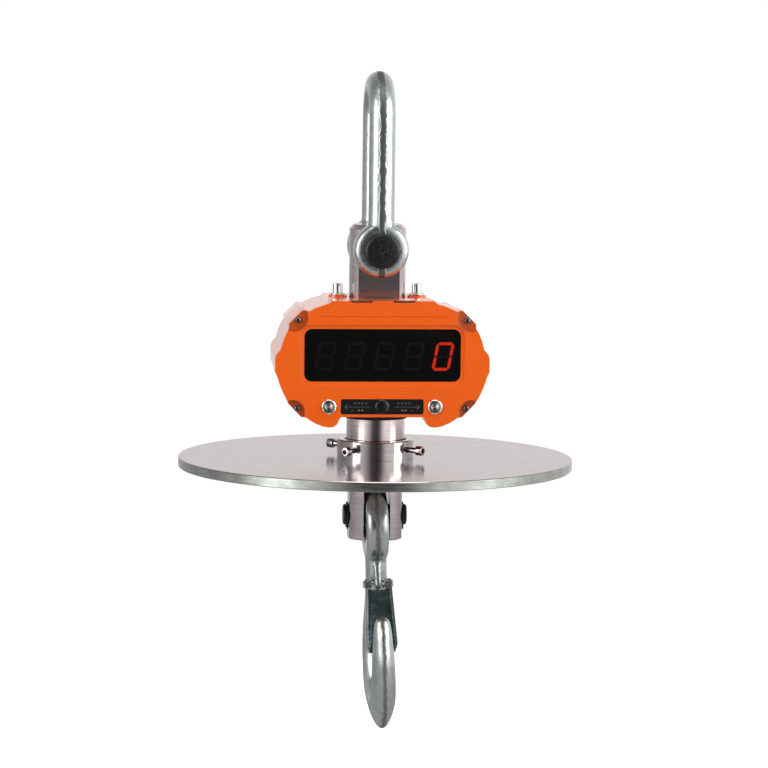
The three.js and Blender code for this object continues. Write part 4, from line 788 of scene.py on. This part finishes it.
def makeLabel():
    low, high = ([v * 1000 for v in corner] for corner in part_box("label_plate"))
    z = (low[2] + high[2]) / 2
    hole = rod(label["hole"], -80, -60, "y", (0, 0, z))
    addPiece("labelPlate", carved(block(low, high, label["radius"], "y", 5), hole), "scale_body",
             blackSheet, "label_plate", bevel=0.15)
    front, back = low[1] - label["proud"], low[1] + label["sunk"]
    ink = [block((min(side * left, side * right), front, z + lower),
                 (max(side * left, side * right), back, z + upper))
           for side in (-1, 1) for left, right, lower, upper in labelMarks()]
    addPiece("labelMarks", together(*ink), "scale_body", printInk)


# lower pin, held by a ring in a groove near each end
lowerPin = {"radius": 11, "half": 33.8, "groove": 1.4, "grooveIn": 28.6, "grooveOut": 31.2}


def makeLowerPin():
    p = lowerPin
    radius, half, core, inside, outside = (p["radius"], p["half"], p["radius"] - p["groove"],
                                           p["grooveIn"], p["grooveOut"])
    end = [(0, half), (radius - 1.2, half), (radius, half - 1.1), (radius, outside), (core, outside),
           (core, inside), (radius, inside)]
    pin = lathe([(r, -x) for r, x in end] + end[::-1], "x")
    addPiece("hookPin", pin, "scale_body", black, "hook_pin", lowerAxis)
    for side in ("left", "right"):
        addPiece("retainingRing_" + side, copyOf("retaining_ring_" + side), "scale_body", black,
                 "retaining_ring_" + side, bevel=0.25)


# hook: stations down the back, round the bowl and up to the point, each with y, z, half depth,
# half width, and how much the section narrows towards its outer side
hookStations = [
    (0, -42, 15, 11.6, 0), (1, -60, 14.8, 11.5, 0), (7, -82, 14.5, 12, 0.05),
    (22, -106, 15.5, 13.2, 0.1), (37.5, -130, 17.5, 14.8, 0.2), (45, -158.6, 19, 16.4, 0.3),
    (31.5, -194, 20, 17.4, 0.35), (-4, -210.6, 21, 16.2, 0.45), (-38, -192, 19, 15.8, 0.32),
    (-51, -158.6, 15.5, 14.6, 0.3), (-52.5, -134, 13.2, 12.2, 0.2), (-52.5, -118, 11.4, 10.2, 0.1),
    (-52, -106.5, 7.5, 7.4, 0.05), (-51.8, -102.6, 1.5, 1.8, 0),
]
hook = {"steps": 72, "sides": 40, "eyeDrop": 8.7, "eyeOuter": 41.5, "eyeInner": 20, "eyeHalf": 12,
        "eyeRounding": 7, "voxel": 1.3, "easing": 5}
# the latch turns on a pin through a lug on the hook's throat
latch = {
    "pivotY": -15, "pivotZ": -73, "lug": 5.5, "lugHalf": 3.4, "bore": 2.8, "pin": 2.5, "pinHead": 4,
    "pinHalf": 16.2, "edgeFrom": 11.4, "hingeAbove": -79, "coil": 3.8, "coilX": 4.3, "wire": 0.42,
    "coilPitch": 2.4, "turns": 3, "legHalf": 0.45, "legLength": 18, "legLean": -16.8,
}
ribOutline = [(-3, -47), (-14.5, -47), (-20.4, -70), (-20.4, -74), (-15, -77.5), (-3, -77.5)]


def splineAt(rows, t):
    # an even Catmull-Rom curve through the rows
    place = t * (len(rows) - 1)
    i = min(int(place), len(rows) - 2)
    f = place - i
    a, b, c, d = (Vector(rows[min(max(i + k, 0), len(rows) - 1)]) for k in (-1, 0, 1, 2))
    return 0.5 * (2 * b + (c - a) * f + (2 * a - 5 * b + 4 * c - d) * f ** 2
                  + (3 * b - a - 3 * c + d) * f ** 3)


def hookBar():
    # a unit ring is pushed from station to station; each ring is set back to the unit one first
    steps = hook["steps"]
    bm = bmesh.new()
    ring = bmesh.ops.create_circle(bm, cap_ends=False, segments=hook["sides"], radius=1)["verts"]
    edges = bm.edges[:]
    section, taper = None, 0
    for i in range(steps + 1):
        if section:
            grown = bmesh.ops.extrude_edge_only(bm, edges=edges)["geom"]
            ring = vertsOf(grown)
            edges = [edge for edge in edgesOf(grown) if all(corner in ring for corner in edge.verts)]
            bmesh.ops.transform(bm, matrix=section.inverted(), verts=ring)
            for corner in ring:
                corner.co.x /= 1 - taper * (1 + corner.co.y) / 2
        y, z, depth, width, taper = splineAt(hookStations, i / steps)
        ahead, behind = (splineAt(hookStations, min(max(i / steps + d, 0), 1)) for d in (0.004, -0.004))
        along = Vector((0, ahead[0] - behind[0], ahead[1] - behind[1])).normalized()
        across = Vector((0, -along.z, along.y))
        section = Matrix(((width, 0, 0, 0), (0, across.y * depth, along.y, y),
                          (0, across.z * depth, along.z, z), (0, 0, 0, 1)))
        for corner in ring:
            corner.co.x *= 1 - taper * (1 + corner.co.y) / 2
        bmesh.ops.transform(bm, matrix=section, verts=ring)
    bmesh.ops.holes_fill(bm, edges=bm.edges)
    bmesh.ops.recalc_face_normals(bm, faces=bm.faces)
    return bm


def makeHook():
    outer, inner, half, corner = hook["eyeOuter"], hook["eyeInner"], hook["eyeHalf"], hook["eyeRounding"]
    eyeAt, pivot = (0, 0, -hook["eyeDrop"]), (0, latch["pivotY"], latch["pivotZ"])
    rounding = [(corner * cos(radians(a)), corner * sin(radians(a))) for a in range(0, 91, 15)]
    profile = [(outer - corner + c, half - corner + s) for c, s in rounding]
    profile += [(inner + corner - s, half - corner + c) for c, s in rounding]
    profile += [(r, -x) for r, x in reversed(profile)]
    eye = lathe(profile, "x", eyeAt, 96, closed=True)
    lugHalf, lug = latch["lugHalf"], latch["lug"]
    boss = lathe([(0, -lugHalf), (lug - 0.6, -lugHalf), (lug, -lugHalf + 0.6), (lug, lugHalf - 0.6),
                  (lug - 0.6, lugHalf), (0, lugHalf)], "x", pivot, 48)
    rib = prism(ribOutline, -lugHalf, lugHalf)
    bar = carved(hookBar(), rod(inner, -30, 30, "x", eyeAt, 64))
    skin = forged(together(bar, eye, together(boss, rib)), hook["voxel"], hook["easing"])
    pinHole = rod(latch["bore"], -20, 20, "x", pivot, 24)
    addPiece("hookForging", carved(skin, pinHole), "hook", zincHook, "hook_body", hookFrame, angle=50)


def makeLatch():
    w = latch
    pivot = (0, w["pivotY"], w["pivotZ"])
    channel = copyOf("safety_latch")
    # flanges and knuckles get the lighter steel, which is painted highlight
    for face in channel.faces:
        spot = hookFrame.inverted() @ (toMetres @ face.calc_center_median())
        if abs(spot.x) > w["edgeFrom"] or spot.z > w["hingeAbove"]:
            face.material_index = 1
    addPiece("safetyLatch", channel, "latch", latchSteel, "safety_latch", bevel=0.5)
    head, half, pin = w["pinHead"], w["pinHalf"], w["pin"]
    end = [(0, half), (head - 0.8, half), (head, half - 0.8), (head, half - 1.8), (pin, half - 1.8)]
    rivet = lathe([(r, -x) for r, x in end] + end[::-1], "x", pivot, 32)
    addPiece("latchPin", rivet, "hook", stainless, "latch_pin", hookFrame)
    bm = bmesh.new()
    start = Matrix.Translation((w["coilX"], w["pivotY"] + w["coil"], w["pivotZ"]))
    bmesh.ops.create_circle(bm, cap_ends=True, segments=10, radius=w["wire"],
                            matrix=start @ Matrix.Rotation(pi / 2, 4, "Z"))
    steps = 24 * w["turns"]
    bmesh.ops.spin(bm, geom=bm.faces[:], cent=(w["coilX"], w["pivotY"], w["pivotZ"]), axis=(1, 0, 0),
                   dvec=(w["coilPitch"] / steps, 0, 0), angle=2 * pi * w["turns"], steps=steps)
    bmesh.ops.recalc_face_normals(bm, faces=bm.faces)
    thick = w["legHalf"]
    leg = placed(block((-thick, -thick, -w["legLength"]), (thick, thick, 0), 0.3),
                 Matrix.Rotation(radians(w["legLean"]), 4, "X"),
                 Matrix.Translation((w["coilX"] + 0.9, w["pivotY"] + 1.8, w["pivotZ"] - 2)))
    addPiece("latchSpring", together(bm, leg), "latch", wire, "latch_spring", hookFrame, angle=60)


# pieces inside and behind whose shape is already right: some only take a material
plainNodes = {
    "mounting_flange": turned, "door_hinge_pin": stainless, "main_board": board,
    "signal_cable": rubber, "battery_tray": blackSheet, "battery_pack": shrinkWrap,
}


def finishInside():
    for node, (_, material) in plainNodes.items():
        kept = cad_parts[node]
        kept.data.materials.clear()
        kept.data.materials.append(material)
    for name, node, body in (("doorLock", "door_lock", "door_lock"),
                             ("chargingSocket", "charging_socket", "scale_body"),
                             ("socketLid", "socket_lid", "socket_lid")):
        addPiece(name, copyOf(node), body, faced, node, bevel=0.35)


makeShackle()
makeShacklePin()
print("shackle made")
makeLoadCell()
makeTopScrews()
makeCollar()
makeShield()
makeSeal()
makeButtons()
makeIrWindow()
makeCoverScrews()
print("turned pieces made")
makeFrontCover()
makeHousing()
makeDisplay()
makeLabel()
print("housing made")
makeLowerPin()
makeHook()
makeLatch()
finishInside()
print("hook made")


# studio: a pale floor in a white room, with a dark gap where the camera stands and strip boxes on
# both sides, the right one stronger; side levels go by the angle round the object, up levels by height
studio = {
    "distance": 4.62, "azimuth": 5.5, "elevation": 7.12, "roll": 0.7, "lens": 202.8,
    "aim": (0.0095, 0.0776), "floor": -1.05, "floorRadius": 2.6, "lightsAim": (0, 0, -0.33),
}
sideLevels = [(-180, 0.68), (-150, 0.45), (-118, 0.4), (-92, 0.58), (-74, 0.95), (-52, 1.3),
              (-36, 0.85), (-18, 0.13), (0, 0.04), (12, 0.16), (25, 1.0), (36, 1.35), (60, 1.25),
              (92, 0.9), (118, 0.8), (150, 0.86), (180, 0.76)]
upLevels = [(-1, 0.6), (-0.3, 0.75), (0, 1.15), (0.3, 1.1), (0.6, 0.75), (1, 0.62)]
softBoxes = {
    "leftBox": {"place": (-2.4, -1.2, 0.4), "size": (1.2, 2.2), "watts": 30},
    "rightBox": {"place": (2.4, -1.0, 0.5), "size": (1.2, 2.2), "watts": 40},
    "topBox": {"place": (0, -0.9, 2.2), "size": (1.8, 1.0), "watts": 21},
}


def makeFloor():
    bm = bmesh.new()
    bmesh.ops.create_circle(bm, cap_ends=True, segments=96, radius=studio["floorRadius"],
                            matrix=Matrix.Translation((0, 0, studio["floor"])))
    mesh = bpy.data.meshes.new("floor")
    bm.to_mesh(mesh)
    bm.free()
    material, shader, spots = startMaterial("paleFloor", Roughness=0.9, Emission_Color=(1, 1, 1, 1))
    grain = addNode(material, "ShaderNodeTexNoise", {"Scale": 30}, {"Vector": spots})
    tone = addNode(material, "ShaderNodeMix", tones("A8A8A8", "AEAEAE"),
                   {mixAmount: grain.outputs["Fac"]}, data_type="RGBA")
    seen = addNode(material, "ShaderNodeLightPath")
    joinShader(material, shader, {"Base Color": tone.outputs[mixedColour],
                                  "Emission Strength": seen.outputs["Is Camera Ray"]})
    mesh.materials.append(material)
    floor = bpy.data.objects.new("floor", mesh)
    scene.collection.objects.link(floor)


def makeWorld():
    world = bpy.data.worlds.new("studio")
    world.use_nodes = True
    scene.world = world
    tree = world.node_tree
    sky = tree.nodes["Background"]
    facing = addNode(world, "ShaderNodeTexCoord").outputs["Generated"]
    parts = addNode(world, "ShaderNodeSeparateXYZ", links={0: facing})
    ahead = addNode(world, "ShaderNodeMath", {1: -1.0}, {0: parts.outputs["Y"]}, operation="MULTIPLY")
    around = addNode(world, "ShaderNodeMath", links={0: parts.outputs["X"], 1: ahead.outputs[0]},
                     operation="ARCTAN2")
    turn = addNode(world, "ShaderNodeMapRange", {"From Min": -pi, "From Max": pi},
                   {"Value": around.outputs[0]})
    height = addNode(world, "ShaderNodeMapRange", {"From Min": -1.0, "From Max": 1.0},
                     {"Value": parts.outputs["Z"]})
    for socket, source, levels, low, high in (("Color", turn, sideLevels, -180, 180),
                                              ("Strength", height, upLevels, -1, 1)):
        shade = addNode(world, "ShaderNodeValToRGB", links={0: source.outputs[0]})
        elements = shade.color_ramp.elements
        while len(elements) < len(levels):
            elements.new(0.5)
        for element, (spot, level) in zip(elements, levels):
            element.position = (spot - low) / (high - low)
            element.color = (level, level * 0.985, level * 0.98, 1)
        tree.links.new(shade.outputs["Color"], sky.inputs[socket])
    backdrop = addNode(world, "ShaderNodeBackground", {"Color": (1, 1, 1, 1), "Strength": 1.0})
    rays = addNode(world, "ShaderNodeLightPath")
    both = addNode(world, "ShaderNodeMixShader", links={
        0: rays.outputs["Is Camera Ray"], 1: sky.outputs[0], 2: backdrop.outputs[0]})
    tree.links.new(both.outputs[0], tree.nodes["World Output"].inputs["Surface"])


def makeLights():
    for name, box in softBoxes.items():
        light = bpy.data.lights.new(name, "AREA")
        light.shape = "RECTANGLE"
        light.size, light.size_y = box["size"]
        light.energy = box["watts"]
        lamp = bpy.data.objects.new(name, light)
        scene.collection.objects.link(lamp)
        lamp.location = box["place"]
        aim = Vector(studio["lightsAim"]) - Vector(box["place"])
        lamp.rotation_euler = aim.to_track_quat("-Z", "Y").to_euler()
    scene.view_settings.view_transform = "Standard"
    scene.view_settings.look = "None"


def makeCamera():
    azimuth, elevation, roll = (radians(studio[key]) for key in ("azimuth", "elevation", "roll"))
    discTop = Vector((0, 0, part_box("shield_disc")[1][2]))
    away = Vector((-sin(azimuth) * cos(elevation), -cos(azimuth) * cos(elevation), sin(elevation)))
    place = discTop + away * studio["distance"]
    look = (-away).to_track_quat("-Z", "Y") @ Quaternion((0, 0, 1), roll)
    aim = discTop + look @ Vector((*studio["aim"], 0))
    camera = bpy.data.cameras.new("camera")
    camera.lens = studio["lens"]
    camera.sensor_width = 36
    camera.clip_end = 100
    holder = bpy.data.objects.new("camera", camera)
    scene.collection.objects.link(holder)
    holder.location = place
    holder.rotation_mode = "QUATERNION"
    holder.rotation_quaternion = (aim - place).to_track_quat("-Z", "Y") @ Quaternion((0, 0, 1), roll)
    scene.camera = holder


makeFloor()
makeWorld()
makeLights()
makeCamera()
print("studio made")
